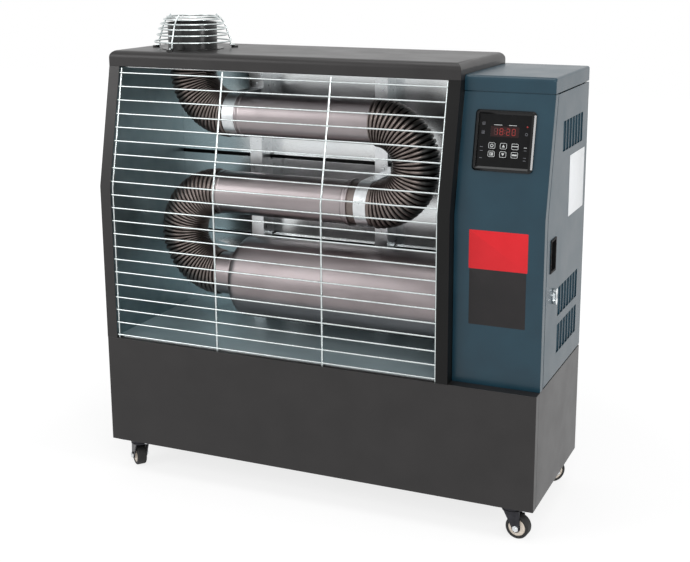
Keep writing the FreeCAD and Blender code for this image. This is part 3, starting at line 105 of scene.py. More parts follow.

# %% [markdown]
# ## Two helpers for shading
# Colours are given as sRGB hex, and shaders work in linear light, so one function converts them.
# The other adds a node with its settings and links in one line, which keeps a material readable.

# %% Shading helpers


def linear(code):
    """An sRGB hex colour as the linear RGBA that a socket takes."""
    channels = [int(code[i:i + 2], 16) / 255 for i in (1, 3, 5)]
    return tuple(c / 12.92 if c <= 0.04045 else ((c + 0.055) / 1.055) ** 2.4 for c in channels) + (1.0,)


def place_node(tree, kind, inputs=(), **settings):
    """Add a node, set its fields, and link or set its inputs."""
    node = tree.nodes.new("ShaderNode" + kind)
    for field, value in settings.items():
        setattr(node, field, value)
    for socket, value in dict(inputs).items():
        if isinstance(value, bpy.types.NodeSocket):
            tree.links.new(value, node.inputs[socket])
        else:
            node.inputs[socket].default_value = value
    return node


# %% [markdown]
# ## White studio
# The background is white where the camera, a reflection or a clear part sees it, and half as bright as a
# source of light. A single white level would flood the object, so the world asks which kind of ray is
# looking. Soft lamps do the rest, at a level where a colour renders about as written.

# %% World
AMBIENT = 0.5


def seen_ray(tree):
    """1 for rays that show the background: from the camera, off gloss or through a clear part."""
    path = place_node(tree, "LightPath").outputs
    either = place_node(tree, "Math", {0: path["Is Camera Ray"], 1: path["Is Glossy Ray"]},
                        operation="MAXIMUM")
    return place_node(tree, "Math", {0: either.outputs[0], 1: path["Is Transmission Ray"]},
                      operation="MAXIMUM").outputs[0]


world = bpy.data.worlds.new("white studio")
bpy.context.scene.world = world
world.use_nodes = True
sky = world.node_tree
level = place_node(sky, "MapRange", {"Value": seen_ray(sky), "To Min": AMBIENT, "To Max": 1.0})
sky.links.new(level.outputs[0], sky.nodes["Background"].inputs["Strength"])
sky.nodes["Background"].inputs["Color"].default_value = linear("#ffffff")
print("world lights with", AMBIENT)

# %% [markdown]
# ## Floor
# A paper floor catches the shadow. It glows for the camera: partly near the heater, where it keeps the
# shadow, and fully further away, so that no horizon shows. A raised backdrop would hide the horizon too,
# but it would stand in the way of views from behind.

# %% Floor
FLOOR_SIZE = 14.0
FIBRE_SCALE = 3.0
GLOW_NEAR = 0.72
GLOW_STRENGTH = 1.1
SHADOW_REACH = (0.7, 1.5)


def blend(tree, factor, first, second):
    """The output of a Mix node between two colours, which are its sockets 6 and 7."""
    return place_node(tree, "Mix", {0: factor, 6: first, 7: second}, data_type="RGBA").outputs[2]


bpy.ops.object.select_all(action="DESELECT")
bpy.ops.mesh.primitive_plane_add(size=FLOOR_SIZE)
floor = bpy.context.object
floor.name = "floor"
paper = bpy.data.materials.new("pale matt studio paper")
paper.use_nodes = True
sheet = paper.node_tree
sheet.nodes.remove(sheet.nodes["Principled BSDF"])
spot = place_node(sheet, "TexCoord").outputs["Object"]
fibre = place_node(sheet, "TexNoise", {"Vector": spot, "Scale": FIBRE_SCALE})
shade = blend(sheet, fibre.outputs["Fac"], linear("#f2f2f2"), linear("#f7f7f7"))
matt = place_node(sheet, "BsdfDiffuse", {"Color": shade})
glow = place_node(sheet, "Emission", {"Color": linear("#ffffff"), "Strength": GLOW_STRENGTH})
away = place_node(sheet, "VectorMath", {0: spot}, operation="LENGTH").outputs["Value"]
white = place_node(sheet, "MapRange", {"Value": away, "From Min": SHADOW_REACH[0],
                                       "From Max": SHADOW_REACH[1], "To Min": GLOW_NEAR,
                                       "To Max": 1.0}).outputs[0]
share = place_node(sheet, "Math", {0: seen_ray(sheet), 1: white}, operation="MULTIPLY")
both = place_node(sheet, "MixShader", {0: share.outputs[0], 1: matt.outputs[0], 2: glow.outputs[0]})
sheet.links.new(both.outputs[0], sheet.nodes["Material Output"].inputs["Surface"])
floor.data.materials.append(paper)
print("floor", FLOOR_SIZE, "m across")

# %% [markdown]
# ## Lamps
# One large soft box stands to the front right, one to the front left and one above. Large boxes give soft
# edges to shadows and broad reflections on paint. A narrow strip beside the keypad gives its rounded rim
# the bright line that a glossy moulding has in studio light.

# %% Lamps
HEATER_MIDDLE = (0, 0, 0.5)
KEYPAD_MIDDLE = (0.373, -0.11, 0.77)


def soft_box(name, place, watts, wide, tall, aim=HEATER_MIDDLE):
    """A rectangular lamp of this size in metres that looks at aim."""
    lamp = bpy.data.lights.new(name, "AREA")
    lamp.shape = "RECTANGLE"
    lamp.size = wide
    lamp.size_y = tall
    lamp.energy = watts
    holder = bpy.data.objects.new(name, lamp)
    holder.location = place
    holder.rotation_euler = (Vector(aim) - Vector(place)).to_track_quat("-Z", "Y").to_euler()
    bpy.context.collection.objects.link(holder)


soft_box("front right box", place=(1.9, -2.9, 2.3), watts=46.0, wide=1.8, tall=1.6)
soft_box("front left box", place=(-2.3, -2.6, 1.9), watts=26.0, wide=1.4, tall=1.8)
soft_box("top box", place=(0.0, -0.4, 3.2), watts=22.0, wide=2.2, tall=1.4)
soft_box("keypad strip", place=(1.67, -0.46, 0.89), watts=4.4, wide=0.2, tall=0.35, aim=KEYPAD_MIDDLE)

# %% [markdown]
# ## A general recipe for a finish
# Most surfaces here share three things: two close tones in soft patches, a gloss that varies with them,
# and a fine relief. One function builds that from real sizes in millimetres, and each material then says
# what it is. A separate node tree for every material would show the same steps thirty times.

# %% Finish recipe
PATCH_EDGES = (0.3, 0.7)
PATCH_DETAIL = 4.0
GRAIN_DETAIL = 2.0
finishes = {}


def surface(name, tones, roughness, patch_mm, grain_mm, relief_mm, stretch=(1, 1, 1), **sockets):
    """A finish of two tones in patches, uneven gloss, and a fine relief."""
    finish = bpy.data.materials.new(name)
    finish.use_nodes = True
    tree = finish.node_tree
    shader = tree.nodes["Principled BSDF"]
    where = place_node(tree, "TexCoord").outputs["Object"]
    drawn = place_node(tree, "Mapping", {"Vector": where, "Scale": stretch}).outputs[0]
    cloud = place_node(tree, "TexNoise", {"Vector": drawn, "Scale": 1 / (patch_mm * MM),
                                          "Detail": PATCH_DETAIL})
    patch = place_node(tree, "MapRange", {"Value": cloud.outputs["Fac"], "From Min": PATCH_EDGES[0],
                                          "From Max": PATCH_EDGES[1]})
    tone = blend(tree, patch.outputs[0], linear(tones[0]), linear(tones[1]))
    tree.links.new(tone, shader.inputs["Base Color"])
    gloss = place_node(tree, "MapRange", {"Value": patch.outputs[0], "To Min": roughness[0],
                                          "To Max": roughness[1]})
    tree.links.new(gloss.outputs[0], shader.inputs["Roughness"])
    grain = place_node(tree, "TexNoise", {"Vector": drawn, "Scale": 1 / (grain_mm * MM),
                                          "Detail": GRAIN_DETAIL})
    bump = place_node(tree, "Bump", {"Height": grain.outputs["Fac"], "Distance": relief_mm * MM})
    tree.links.new(bump.outputs[0], shader.inputs["Normal"])
    for socket, value in sockets.items():
        shader.inputs[socket.replace("_", " ")].default_value = value
    finishes[name] = finish
    return finish


# %% [markdown]
# ## Paint
# The casing is powder coated: a thick, even paint with a faint orange peel. The real peel is 1 to 2 mm
# across and would vanish in the render, so it is drawn at 4 mm. A lower specular level keeps the dark
# paints dark.

# %% Paint finishes
PEEL = {"patch_mm": 60, "grain_mm": 4, "relief_mm": 0.05}
# near black with a broad soft shine
charcoal = surface("charcoal powder coat, satin", ("#1d1b1b", "#232121"), (0.34, 0.40), **PEEL,
                   Specular_IOR_Level=0.42)
# deep blue that turns grey where it is seen at a low angle
slate = surface("slate blue powder coat, satin", ("#0d303e", "#123644"), (0.28, 0.34), **PEEL,
                Specular_IOR_Level=0.42)
# painted shade: the same coat darker on the divider, as it stands in shade beside the bright reflector
shaded_charcoal = surface("charcoal powder coat, painted shade", ("#0b0b0b", "#0f0f0f"), (0.34, 0.40), **PEEL,
                          Specular_IOR_Level=0.2)
# the dull black skin of a tank
tank_paint = surface("black tank enamel, satin", ("#19191a", "#212122"), (0.38, 0.46), patch_mm=40,
                     grain_mm=5, relief_mm=0.05)
# dark grey with small lights on its round edges
motor_enamel = surface("grey motor enamel, gloss", ("#2c2e31", "#34363a"), (0.28, 0.36), patch_mm=30,
                       grain_mm=3, relief_mm=0.05)
# deep black that shines in streaks
stove_black = surface("black stove paint, heat cured", ("#0b0c0c", "#121212"), (0.24, 0.32), patch_mm=18,
                      grain_mm=1.5, relief_mm=0.02)
print("paints:", sorted(finishes))

# %% [markdown]
# ## Bare metal
# Rolled sheet keeps faint lines along its rolling direction, so its patches are drawn out along X. Zinc
# plating is cloudy. The tubes are heat tinted: warm grey with soft bands. A metal shows little but what
# it mirrors, so its roughness decides most of what is seen.

# %% Metal finishes
ROLLED = (0.3, 1.0, 1.0)
SHEET_SKIN = {"patch_mm": 45, "grain_mm": 8, "stretch": ROLLED}
TUBE_SKIN = {"patch_mm": 30, "grain_mm": 3, "relief_mm": 0.006, "stretch": ROLLED, "Metallic": 1.0}
# a blurred mirror that repeats the tubes in front of it
bright_sheet = surface("bright rolled reflector steel", ("#dfe3e5", "#eaeded"), (0.20, 0.28), **SHEET_SKIN,
                       relief_mm=0.003, Metallic=1.0)
# cloudy grey green that keeps only the light and dark of the room
dull_sheet = surface("dull rolled reflector steel", ("#7f9499", "#8fa2a7"), (0.42, 0.50), **SHEET_SKIN,
                     relief_mm=0.004, Metallic=1.0)
# painted light: the same steel, paler on the up-facing floor as if lit from above, and less metallic
lit_floor_sheet = surface("dull rolled reflector steel, painted light on floor", ("#9fb3b9", "#afc1c6"), (0.42, 0.50),
                      **SHEET_SKIN, relief_mm=0.004, Metallic=0.55)
# warm grey that runs from light to dark round the tube
satin_tube = surface("satin heat tinted tube steel", ("#877f80", "#999192"), (0.32, 0.40), **TUBE_SKIN)
# the same steel, a little lighter where it stays cooler
bright_tube = surface("satin heat tinted tube steel, cooler run", ("#958d8e", "#a39b9c"), (0.28, 0.36),
                      **TUBE_SKIN)
# thin lines of light
chrome_wire = surface("bright plated wire", ("#c6cece", "#d8dede"), (0.14, 0.24), patch_mm=8, grain_mm=2,
                      relief_mm=0.01, Metallic=1.0)
# bluish white clouds
zinc = surface("zinc plated steel", ("#d2d6d8", "#e6e8ea"), (0.26, 0.36), patch_mm=14, grain_mm=4,
               relief_mm=0.006, Metallic=1.0)
# small hard sparks
lock_chrome = surface("bright chrome on zinc casting", ("#cfd4d6", "#e4e8e9"), (0.16, 0.22), patch_mm=6,
                      grain_mm=2, relief_mm=0.005, Metallic=1.0)
# nearly black, with a dim metal shine
caster_steel = surface("black passivated caster steel", ("#26262a", "#35353a"), (0.3, 0.42), patch_mm=8,
                       grain_mm=2, relief_mm=0.01, Metallic=0.7)
# grainy light grey
cast_alloy = surface("as cast aluminium alloy", ("#8f9295", "#a8abae"), (0.42, 0.56), patch_mm=10,
                     grain_mm=1.2, relief_mm=0.12, Metallic=1.0)
# warm red brown
drawn_copper = surface("drawn copper pipe", ("#a9683f", "#c07f52"), (0.24, 0.36), patch_mm=12, grain_mm=2,
                       relief_mm=0.01, Metallic=1.0)
print("finishes so far:", len(finishes))

# %% [markdown]
# ## Plastics, rubber, print
# Mouldings are black ABS, gloss on the keypad and spark-eroded satin elsewhere. Wheels have a black
# rubber tyre on a cream nylon hub. The bare plates on the casing are vinyl film.

# %% Plastic finishes
SPARKED = {"patch_mm": 16, "grain_mm": 0.9, "relief_mm": 0.04}
INKED = {"patch_mm": 4, "grain_mm": 0.8, "relief_mm": 0.01}
VINYL = {"patch_mm": 40, "grain_mm": 5, "relief_mm": 0.01}
SEGMENT = {"patch_mm": 4, "grain_mm": 2, "relief_mm": 0.001}
# a black mirror with a line of light on its rim
gloss_abs = surface("black ABS, high gloss", ("#070708", "#0b0b0c"), (0.07, 0.11), patch_mm=30, grain_mm=6,
                    relief_mm=0.004, Specular_IOR_Level=0.3)
# even black that mirrors nothing
satin_abs = surface("black ABS, fine texture", ("#151516", "#1c1c1d"), (0.42, 0.52), **SPARKED)
# painted shade: darker than the other black ABS, for the shade in the pull's pocket
pull_abs = surface("black ABS, deep texture, painted pocket shade", ("#0b0b0c", "#101011"), (0.55, 0.65), **SPARKED,
                   Specular_IOR_Level=0.12)
# a soft black skin
key_film = surface("black polyester key film, satin", ("#09090a", "#0d0d0e"), (0.2, 0.28), patch_mm=12,
                   grain_mm=1.0, relief_mm=0.004, Specular_IOR_Level=0.15)
# matt black, greyed by dust
tyre_rubber = surface("black thermoplastic rubber", ("#121212", "#1d1d1c"), (0.6, 0.78), patch_mm=9,
                      grain_mm=1.2, relief_mm=0.05)
# warm waxy white
hub_nylon = surface("cream nylon, moulded", ("#dfd2c2", "#ece1d4"), (0.38, 0.48), patch_mm=10, grain_mm=2,
                    relief_mm=0.01)
# almost black glass with red in its depth
smoked_acrylic = surface("smoked red acrylic", ("#1c0303", "#240404"), (0.05, 0.08), patch_mm=14,
                         grain_mm=4, relief_mm=0.002, Specular_IOR_Level=0.3)
# flat white, and a grey that steps back behind it
white_ink = surface("white screen ink", ("#b6b8b8", "#c4c6c6"), (0.5, 0.6), **INKED)
grey_ink = surface("grey screen ink", ("#55565a", "#63646a"), (0.5, 0.6), **INKED)
# mottled green under lacquer
board_resin = surface("green board resin, lacquered", ("#174a2b", "#2d6b3f"), (0.22, 0.4), patch_mm=3,
                      grain_mm=1.5, relief_mm=0.03)
# flat even colours with a faint shine
red_vinyl = surface("red vinyl film, satin", ("#c91922", "#d01e27"), (0.34, 0.42), **VINYL,
                    Specular_IOR_Level=0.3)
black_vinyl = surface("black vinyl film, satin", ("#1b191a", "#211e1f"), (0.36, 0.44), **VINYL,
                      Specular_IOR_Level=0.3)
white_vinyl = surface("white vinyl film, satin", ("#e3e6e8", "#eceef0"), (0.36, 0.44), **VINYL)
# a weak red glow, and the dark red of a bar that is off
lit_red = surface("red light segments, lit", ("#6a1210", "#781613"), (0.4, 0.5), **SEGMENT,
                  Emission_Color=linear("#d8281e"), Emission_Strength=0.16)
unlit_red = surface("red light segments, unlit", ("#350b09", "#3f0e0c"), (0.4, 0.5), **SEGMENT)
print("finishes:", len(finishes))

# %% [markdown]
# ## Wrinkled bends
# A wrinkle bend is bright on its crests and dark in its grooves, partly from soot and partly as painted
# shade in the grooves. A pattern in space would not follow the ribs, so the mesh carries a number at
# each point, from 0 in a groove to 1 on a crest, and the material mixes its tones by that.

# %% Finish of the bends
CREST_MARK = "crest"
SOOT_AND_SHADE_EDGES = (0.15, 0.75)
wrinkled = surface("heat tinted aluminised steel, wrinkled", ("#6f6662", "#857b77"), (0.34, 0.44),
                   patch_mm=12, grain_mm=2, relief_mm=0.01, Metallic=1.0)
tree = wrinkled.node_tree
mark = place_node(tree, "Attribute", attribute_name=CREST_MARK).outputs["Fac"]
soot_and_shade = place_node(tree, "MapRange", {"Value": mark, "From Min": SOOT_AND_SHADE_EDGES[0],
                                     "From Max": SOOT_AND_SHADE_EDGES[1]}).outputs[0]
base_colour = tree.nodes["Principled BSDF"].inputs["Base Color"]
crest_tone = base_colour.links[0].from_socket
# the dark groove tone stands for soot and also for painted shade in the grooves
tree.links.new(blend(tree, soot_and_shade, linear("#15100e"), crest_tone), base_colour)
print("bends take their soot from the", CREST_MARK, "attribute")

# %% [markdown]
# ## Every CAD node gets its finish
# The record names a material slot for each node. Each slot has its finish here, and a node that differs
# from its slot is named by itself. Nodes that are dressed later pass their finish on to the dressed copy.

# %% Assign finishes
finish_of_slot = {
    "charcoal_paint": charcoal, "blue_paint": slate, "reflector_steel": bright_sheet,
    "tube_steel": satin_tube, "ribbed_steel": wrinkled, "wire_chrome": chrome_wire, "zinc_steel": zinc,
    "caster_steel": caster_steel, "tyre_rubber": tyre_rubber, "key_plastic": key_film,
    "black_plastic": satin_abs, "gloss_black": gloss_abs, "display_lens": smoked_acrylic,
    "board_resin": board_resin, "cast_alloy": cast_alloy, "motor_paint": motor_enamel,
    "pipe_brass": drawn_copper, "tank_paint": tank_paint,
}
own_finish = {
    "exhaust_collar": stove_black, "caster_plates": caster_steel, "reflector_sides": dull_sheet,
    "door_lock": lock_chrome, "tube_straps": zinc, "support_posts": zinc, "radiant_tube_top": bright_tube,
    # the divider takes the painted-shade copy of the charcoal coat
    "radiant_tube_middle": bright_tube, "door_pull": pull_abs, "divider_panel": shaded_charcoal,
}
finish_of = {node: own_finish.get(node, finish_of_slot[slot]) for node, slot in slot_of.items()}
for node, thing in frame["nodes"].items():
    thing.data.materials.clear()
    thing.data.materials.append(finish_of[node])
print("finished nodes:", len(finish_of))

# %% [markdown]
# ## Helpers for modelling
# Operators act on whatever is selected, so each step first selects what it means. These helpers select a
# piece, start one from a primitive, and pick faces or edges by a test of their place or normal.

# %% Selecting helpers


def alone(piece):
    """Select only this piece and make it active."""
    bpy.ops.object.select_all(action="DESELECT")
    piece.select_set(True)
    bpy.context.view_layer.objects.active = piece


def start(kind, scale=(1, 1, 1), **how):
    """Add a primitive with its size and place in its mesh, and open it with all of it selected."""
    bpy.ops.object.select_all(action="DESELECT")
    getattr(bpy.ops.mesh, "primitive_" + kind + "_add")(**how)
    bpy.context.object.scale = scale
    bpy.ops.object.transform_apply(location=True, rotation=True, scale=True)
    bpy.ops.object.mode_set(mode="EDIT")
    bpy.ops.mesh.select_mode(type="VERT")
    bpy.ops.mesh.select_all(action="SELECT")
    return bpy.context.object


def pick(kind, test):
    """In edit mode, select just the VERT, EDGE or FACE items that pass the test."""
    bpy.ops.mesh.select_mode(type=kind)
    bpy.ops.mesh.select_all(action="DESELECT")
    mesh = bmesh.from_edit_mesh(bpy.context.object.data)
    for item in {"VERT": mesh.verts, "EDGE": mesh.edges, "FACE": mesh.faces}[kind]:
        if test(item):
            item.select_set(True)
    mesh.select_flush_mode()
    bmesh.update_edit_mesh(bpy.context.object.data)


# %% [markdown]
# A modifier is applied at once, so that later steps see real geometry. A finished piece is settled: its
# place goes into its mesh, it is shaded, gets its material, and rides on a body of the frame.

# %% Finishing helpers
SHADE_ANGLE = 35.0


def modify(piece, kind, **settings):
    """Add a modifier to a piece in object mode and apply it."""
    alone(piece)
    step = piece.modifiers.new(kind.lower(), kind)
    for field, value in settings.items():
        setattr(step, field, value)
    bpy.ops.object.modifier_apply(modifier=step.name)


def settle(piece, name, body, finish, stands_for=(), place=None, smooth=SHADE_ANGLE):
    """Name a finished piece, shade it, and let it ride on its body."""
    if bpy.context.mode != "OBJECT":
        bpy.ops.object.mode_set(mode="OBJECT")
    alone(piece)
    bpy.ops.object.transform_apply(location=True, rotation=True, scale=True)
    if place is not None:
        piece.matrix_world = place
        bpy.ops.object.transform_apply(location=True, rotation=True, scale=True)
    bpy.ops.object.shade_smooth_by_angle(angle=math.radians(smooth))
    piece.name = name
    piece.data.name = name
    piece.data.materials.clear()
    piece.data.materials.append(finish)
    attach(piece, body)
    for node in stands_for:
        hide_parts(node)


# %% [markdown]
# ## Dressed copies of CAD nodes
# A CAD mesh arrives as loose flat triangles. A copy whose points are merged can be shaded smooth. On
# sheet metal the flat triangles are dissolved into whole faces first, so that a small bevel can run along
# every folded edge. Modelling each panel again would only repeat what the CAD already holds.

# %% Dressing helpers
MERGE = 0.00001
FLAT_ANGLE = 0.5
SHARP_ANGLE = 40.0


def copy_of(node):
    """A merged copy of a CAD node, free of the frame's marks and active."""
    piece = frame["nodes"][node].copy()
    piece.data = piece.data.copy()
    piece.parent = None
    for key in list(piece.keys()):
        del piece[key]
    bpy.context.collection.objects.link(piece)
    alone(piece)
    bpy.ops.mesh.customdata_custom_splitnormals_clear()
    bpy.ops.object.mode_set(mode="EDIT")
    bpy.ops.mesh.select_all(action="SELECT")
    bpy.ops.mesh.remove_doubles(threshold=MERGE)
    bpy.ops.object.mode_set(mode="OBJECT")
    return piece


def flatten(piece):
    """Join the flat triangles of a piece into whole faces."""
    alone(piece)
    bpy.ops.object.mode_set(mode="EDIT")
    bpy.ops.mesh.select_all(action="SELECT")
    bpy.ops.mesh.dissolve_limited(angle_limit=math.radians(FLAT_ANGLE))
    bpy.ops.object.mode_set(mode="OBJECT")


def round_edges(piece, width_mm, angle=SHARP_ANGLE):
    """Bevel the edges of a piece that are sharper than this angle."""
    modify(piece, "BEVEL", width=width_mm * MM, segments=2, limit_method="ANGLE",
           angle_limit=math.radians(angle))


def dress(node, bevel_mm=0.0, smooth=SHADE_ANGLE):
    """Stand a merged, smooth and if asked bevelled copy in the place of a CAD node."""
    piece = copy_of(node)
    if bevel_mm:
        flatten(piece)
        round_edges(piece, bevel_mm)
    settle(piece, node + "_dressed", body_of[node], finish_of[node], [node], smooth=smooth)
    if bevel_mm:
        modify(piece, "WEIGHTED_NORMAL", keep_sharp=True)
    return piece


# %% [markdown]
# ## Casing
# The painted panels are folded sheet. Their edges are about half a millimetre round, which is what
# catches a thin line of light along every fold and opening. Without it a panel looks cut from paper.

# %% Dress the casing
SHEET_EDGE = 0.45
casing = ["base_front_panel", "base_side_panels", "base_back_panel", "base_deck", "left_side_panel",
          "divider_panel", "heater_back_panel", "top_cap", "cabinet_front_panel", "cabinet_back_panel",
          "cabinet_door", "filler_pocket", "chassis_floor"]
skin_of = {node: dress(node, bevel_mm=SHEET_EDGE) for node in casing}
print("casing panels dressed:", len(casing))

# %% [markdown]
# ## Wire, straps and machinery
# Round wire and tube need only merged points and smooth shading. Straps, posts and the reflector are
# thinner sheet, so their bevel is smaller. Castings and mouldings have softer edges than sheet.

# %% Dress the metalwork
THIN_EDGE = 0.25
CAST_EDGE = 0.5
TURNED_ANGLE = 40.0
turned = ["guard_grille", "exhaust_guard", "exhaust_collar", "radiant_tube_top", "radiant_tube_middle",
          "combustion_chamber", "fuel_pipes", "blower_wheel", "burner_nozzle"]
thin = ["reflector_panels", "reflector_sides", "support_posts", "tube_straps", "door_pivot_pins"]
cast = ["blower_housing", "blower_motor", "fuel_pump", "fuel_tank", "ignition_transformer", "door_lock",
        "door_pull", "filler_cap", "mains_inlet", "control_board"]
skin_of.update({node: dress(node, smooth=TURNED_ANGLE) for node in turned})
skin_of.update({node: dress(node, bevel_mm=THIN_EDGE) for node in thin})
skin_of.update({node: dress(node, bevel_mm=CAST_EDGE) for node in cast})
print("pieces dressed:", len(skin_of))

# %% [markdown]
# ## Floor of the reflector
# The up-facing sheet below the burner tube is dull, and paler than the sides as painted light from the
# lamps above. It belongs to the bright reflector's node. Rather than cut the mesh apart, its faces are
# picked by place and normal on the dressed copy and given a second material.

# %% Dull the reflector's floor
FLOOR_BAND = 30.0 * MM
# a face looks up or down when this share of its normal does
FACING = 0.9
liner_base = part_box("reflector_panels")[0].z


def second_finish(piece, finish, test):
    """Give the faces that pass the test a second material, and say how many they are."""
    piece.data.materials.append(finish)
    alone(piece)
    bpy.ops.object.mode_set(mode="EDIT")
    pick("FACE", test)
    piece.active_material_index = 1
    bpy.ops.object.material_slot_assign()
    bpy.ops.object.mode_set(mode="OBJECT")
    return sum(face.material_index for face in piece.data.polygons)


print("dull floor faces:", second_finish(
    skin_of["reflector_panels"], lit_floor_sheet,
    lambda f: f.normal.z > FACING and f.calc_center_median().z < liner_base + FLOOR_BAND))

# %% [markdown]
# ## Ribbed bends
# A wrinkle bend has close ribs with wide round crests and narrow grooves that crowd together on the
# inside of the curve. A bump in the material would leave the outline smooth, so the ribs are modelled.
# First come the measures of the tubes, from the CAD boxes, and small helpers to extrude, to widen a ring
# and to find a point on the middle line of a bend.

# %% Bend helpers
tube_low, tube_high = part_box("radiant_tube_top")
tube_radius = (tube_high.z - tube_low.z) / 2
tube_y = (tube_high.y + tube_low.y) / 2


def axis_height(node):
    """Height of the axis of a level tube."""
    low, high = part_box(node)
    return (low.z + high.z) / 2


def extrude(move=(0, 0, 0)):
    """Extrude what is selected and move it."""
    bpy.ops.mesh.extrude_region_move(TRANSFORM_OT_translate={"value": move})


def widen(factor, centre):
    """Scale what is selected about a point."""
    bpy.ops.transform.resize(value=(factor, factor, factor), center_override=centre)


def on_arc(centre, radius, angle):
    """Point of a bend's middle line, at an angle in the XZ plane."""
    return centre + Vector((math.cos(angle), 0, math.sin(angle))) * radius


print("tubes of", round(2 * tube_radius / MM, 1), "mm")

# %% [markdown]
# One rib is modelled ring by ring, from groove to groove: a circle is extruded, turned about the middle
# of the bend and widened, six times. Spin then sets copies of this rib round the bend, and their rings
# are merged.

# %% One rib, spun round the bend
RIB_RINGS = 6
RIB_SIDES = 56
CREST_POWER = 3
GROOVE_RADIUS = 42.3 * MM


def rib_profile(crest):
    """Radius of each ring of a rib, from one groove to the next."""
    parts = [i / RIB_RINGS for i in range(1, RIB_RINGS + 1)]
    return [GROOVE_RADIUS + (crest - GROOVE_RADIUS) * (1 - abs(2 * part - 1) ** CREST_POWER)
            for part in parts]


def ribbed_arc(centre, radius, begin, sweep, ribs, crest):
    """Model one rib at the start of an arc and spin copies of it over the sweep."""
    step = sweep / ribs
    piece = start("circle", vertices=RIB_SIDES, radius=GROOVE_RADIUS,
                  location=on_arc(centre, radius, begin), rotation=(0, math.pi / 2, 0))
    last = GROOVE_RADIUS
    for i, wide in enumerate(rib_profile(crest), 1):
        extrude()
        bpy.ops.transform.rotate(value=step / RIB_RINGS, orient_axis="Y", center_override=centre)
        widen(wide / last, on_arc(centre, radius, begin + step * i / RIB_RINGS))
        last = wide
    bpy.ops.mesh.select_all(action="SELECT")
    bpy.ops.mesh.spin(steps=ribs - 1, angle=step * (ribs - 1), center=centre, axis=(0, 1, 0), dupli=True)
    bpy.ops.mesh.select_all(action="SELECT")
    bpy.ops.mesh.remove_doubles(threshold=MERGE)
    return piece


print("rib of", RIB_RINGS, "rings with", RIB_SIDES, "sides")

# %% [markdown]
# Plain cuffs are extruded from both ends of a bend. Solidify then gives the wall, and each point is
# marked by its height over the groove, which the material reads.

# %% Cuffs and wall
CUFF_STEP = 1.0 * MM
RING_SLACK = 1.01
BEND_WALL = 0.8 * MM
ROUND_ANGLE = 60.0


def pick_ring(centre):
    """Select the open groove ring round this point."""
    pick("VERT", lambda v: v.is_boundary and (v.co - centre).length < GROOVE_RADIUS * RING_SLACK)


def cuff(end, along, length):
    """Extrude a plain cuff as wide as the tube from the open ring at this end."""
    pick_ring(end)
    extrude(along * CUFF_STEP)
    extrude(along * CUFF_STEP)
    widen(tube_radius / GROOVE_RADIUS, end + along * 2 * CUFF_STEP)
    extrude(along * (length - 2 * CUFF_STEP))


def close_bend(piece, name, crest, middle):
    """Give the wall, mark crests and grooves, and stand the piece in for its node."""
    bpy.ops.mesh.select_all(action="SELECT")
    bpy.ops.mesh.remove_doubles(threshold=MERGE)
    bpy.ops.mesh.normals_make_consistent(inside=False)
    bpy.ops.object.mode_set(mode="OBJECT")
    modify(piece, "SOLIDIFY", thickness=BEND_WALL, offset=-1.0)
    heights = []
    for v in piece.data.vertices:
        axis_point = middle(v.co)
        if axis_point is None:
            heights.append(1.0)
        else:
            heights.append(((v.co - axis_point).length - GROOVE_RADIUS) / (crest - GROOVE_RADIUS))
    marks = piece.data.attributes.new(CREST_MARK, "FLOAT", "POINT")
    marks.data.foreach_set("value", heights)
    settle(piece, name + "_ribbed", body_of[name], wrinkled, [name], smooth=ROUND_ANGLE)
    print(name, "has", len(piece.data.polygons), "faces")


# %% [markdown]
# The two U bends turn half a circle between tube axes. Their middle, radius and crest come from the boxes
# of the CAD nodes, so they meet the tubes without fitting.

# %% U bends
BEND_RIBS = 34
SHORT_CUFF = 4.0 * MM
LONG_CUFF = 50.0 * MM


def u_bend(node, upper, lower, side, top_cuff, bottom_cuff):
    """A half turn on the right (side 1) or left (side -1) from the upper to the lower tube."""
    low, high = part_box(node)
    crest = (high.y - low.y) / 2
    radius = (axis_height(upper) - axis_height(lower)) / 2
    reach = radius + crest
    x = high.x - reach if side > 0 else low.x + reach
    centre = Vector((x, tube_y, (axis_height(upper) + axis_height(lower)) / 2))
    piece = ribbed_arc(centre, radius, math.pi / 2, -side * math.pi, BEND_RIBS, crest)
    inward = Vector((-side, 0, 0))
    cuff(on_arc(centre, radius, math.pi / 2), inward, top_cuff)
    cuff(on_arc(centre, radius, -math.pi / 2), inward, bottom_cuff)

    def middle(point):
        """Nearest point of the middle line, or None on a cuff."""
        if (point.x - centre.x) * side < 0:
            return None
        return on_arc(centre, radius, math.atan2(point.z - centre.z, point.x - centre.x))
    close_bend(piece, node, crest, middle)


u_bend("upper_bend", "radiant_tube_top", "radiant_tube_middle", 1, SHORT_CUFF, LONG_CUFF)
u_bend("lower_bend", "radiant_tube_middle", "combustion_chamber", -1, SHORT_CUFF, SHORT_CUFF)

# %% [markdown]
# The flue elbow turns a quarter circle and goes on with straight ribs up to the flue collar. The straight
# ribs use the same ring widths, extruded upwards instead of turned.

# %% Flue elbow
ELBOW_RIBS = 19
STRAIGHT_RIBS = 2
elbow_low, elbow_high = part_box("exhaust_elbow")
elbow_crest = (elbow_high.y - elbow_low.y) / 2
flue_x = elbow_low.x + elbow_crest
elbow_radius = elbow_high.x - SHORT_CUFF - flue_x
elbow_centre = Vector((flue_x + elbow_radius, tube_y, axis_height("radiant_tube_top") + elbow_radius))
elbow = ribbed_arc(elbow_centre, elbow_radius, -math.pi / 2, -math.pi / 2, ELBOW_RIBS, elbow_crest)
cuff(on_arc(elbow_centre, elbow_radius, -math.pi / 2), Vector((1, 0, 0)), SHORT_CUFF)

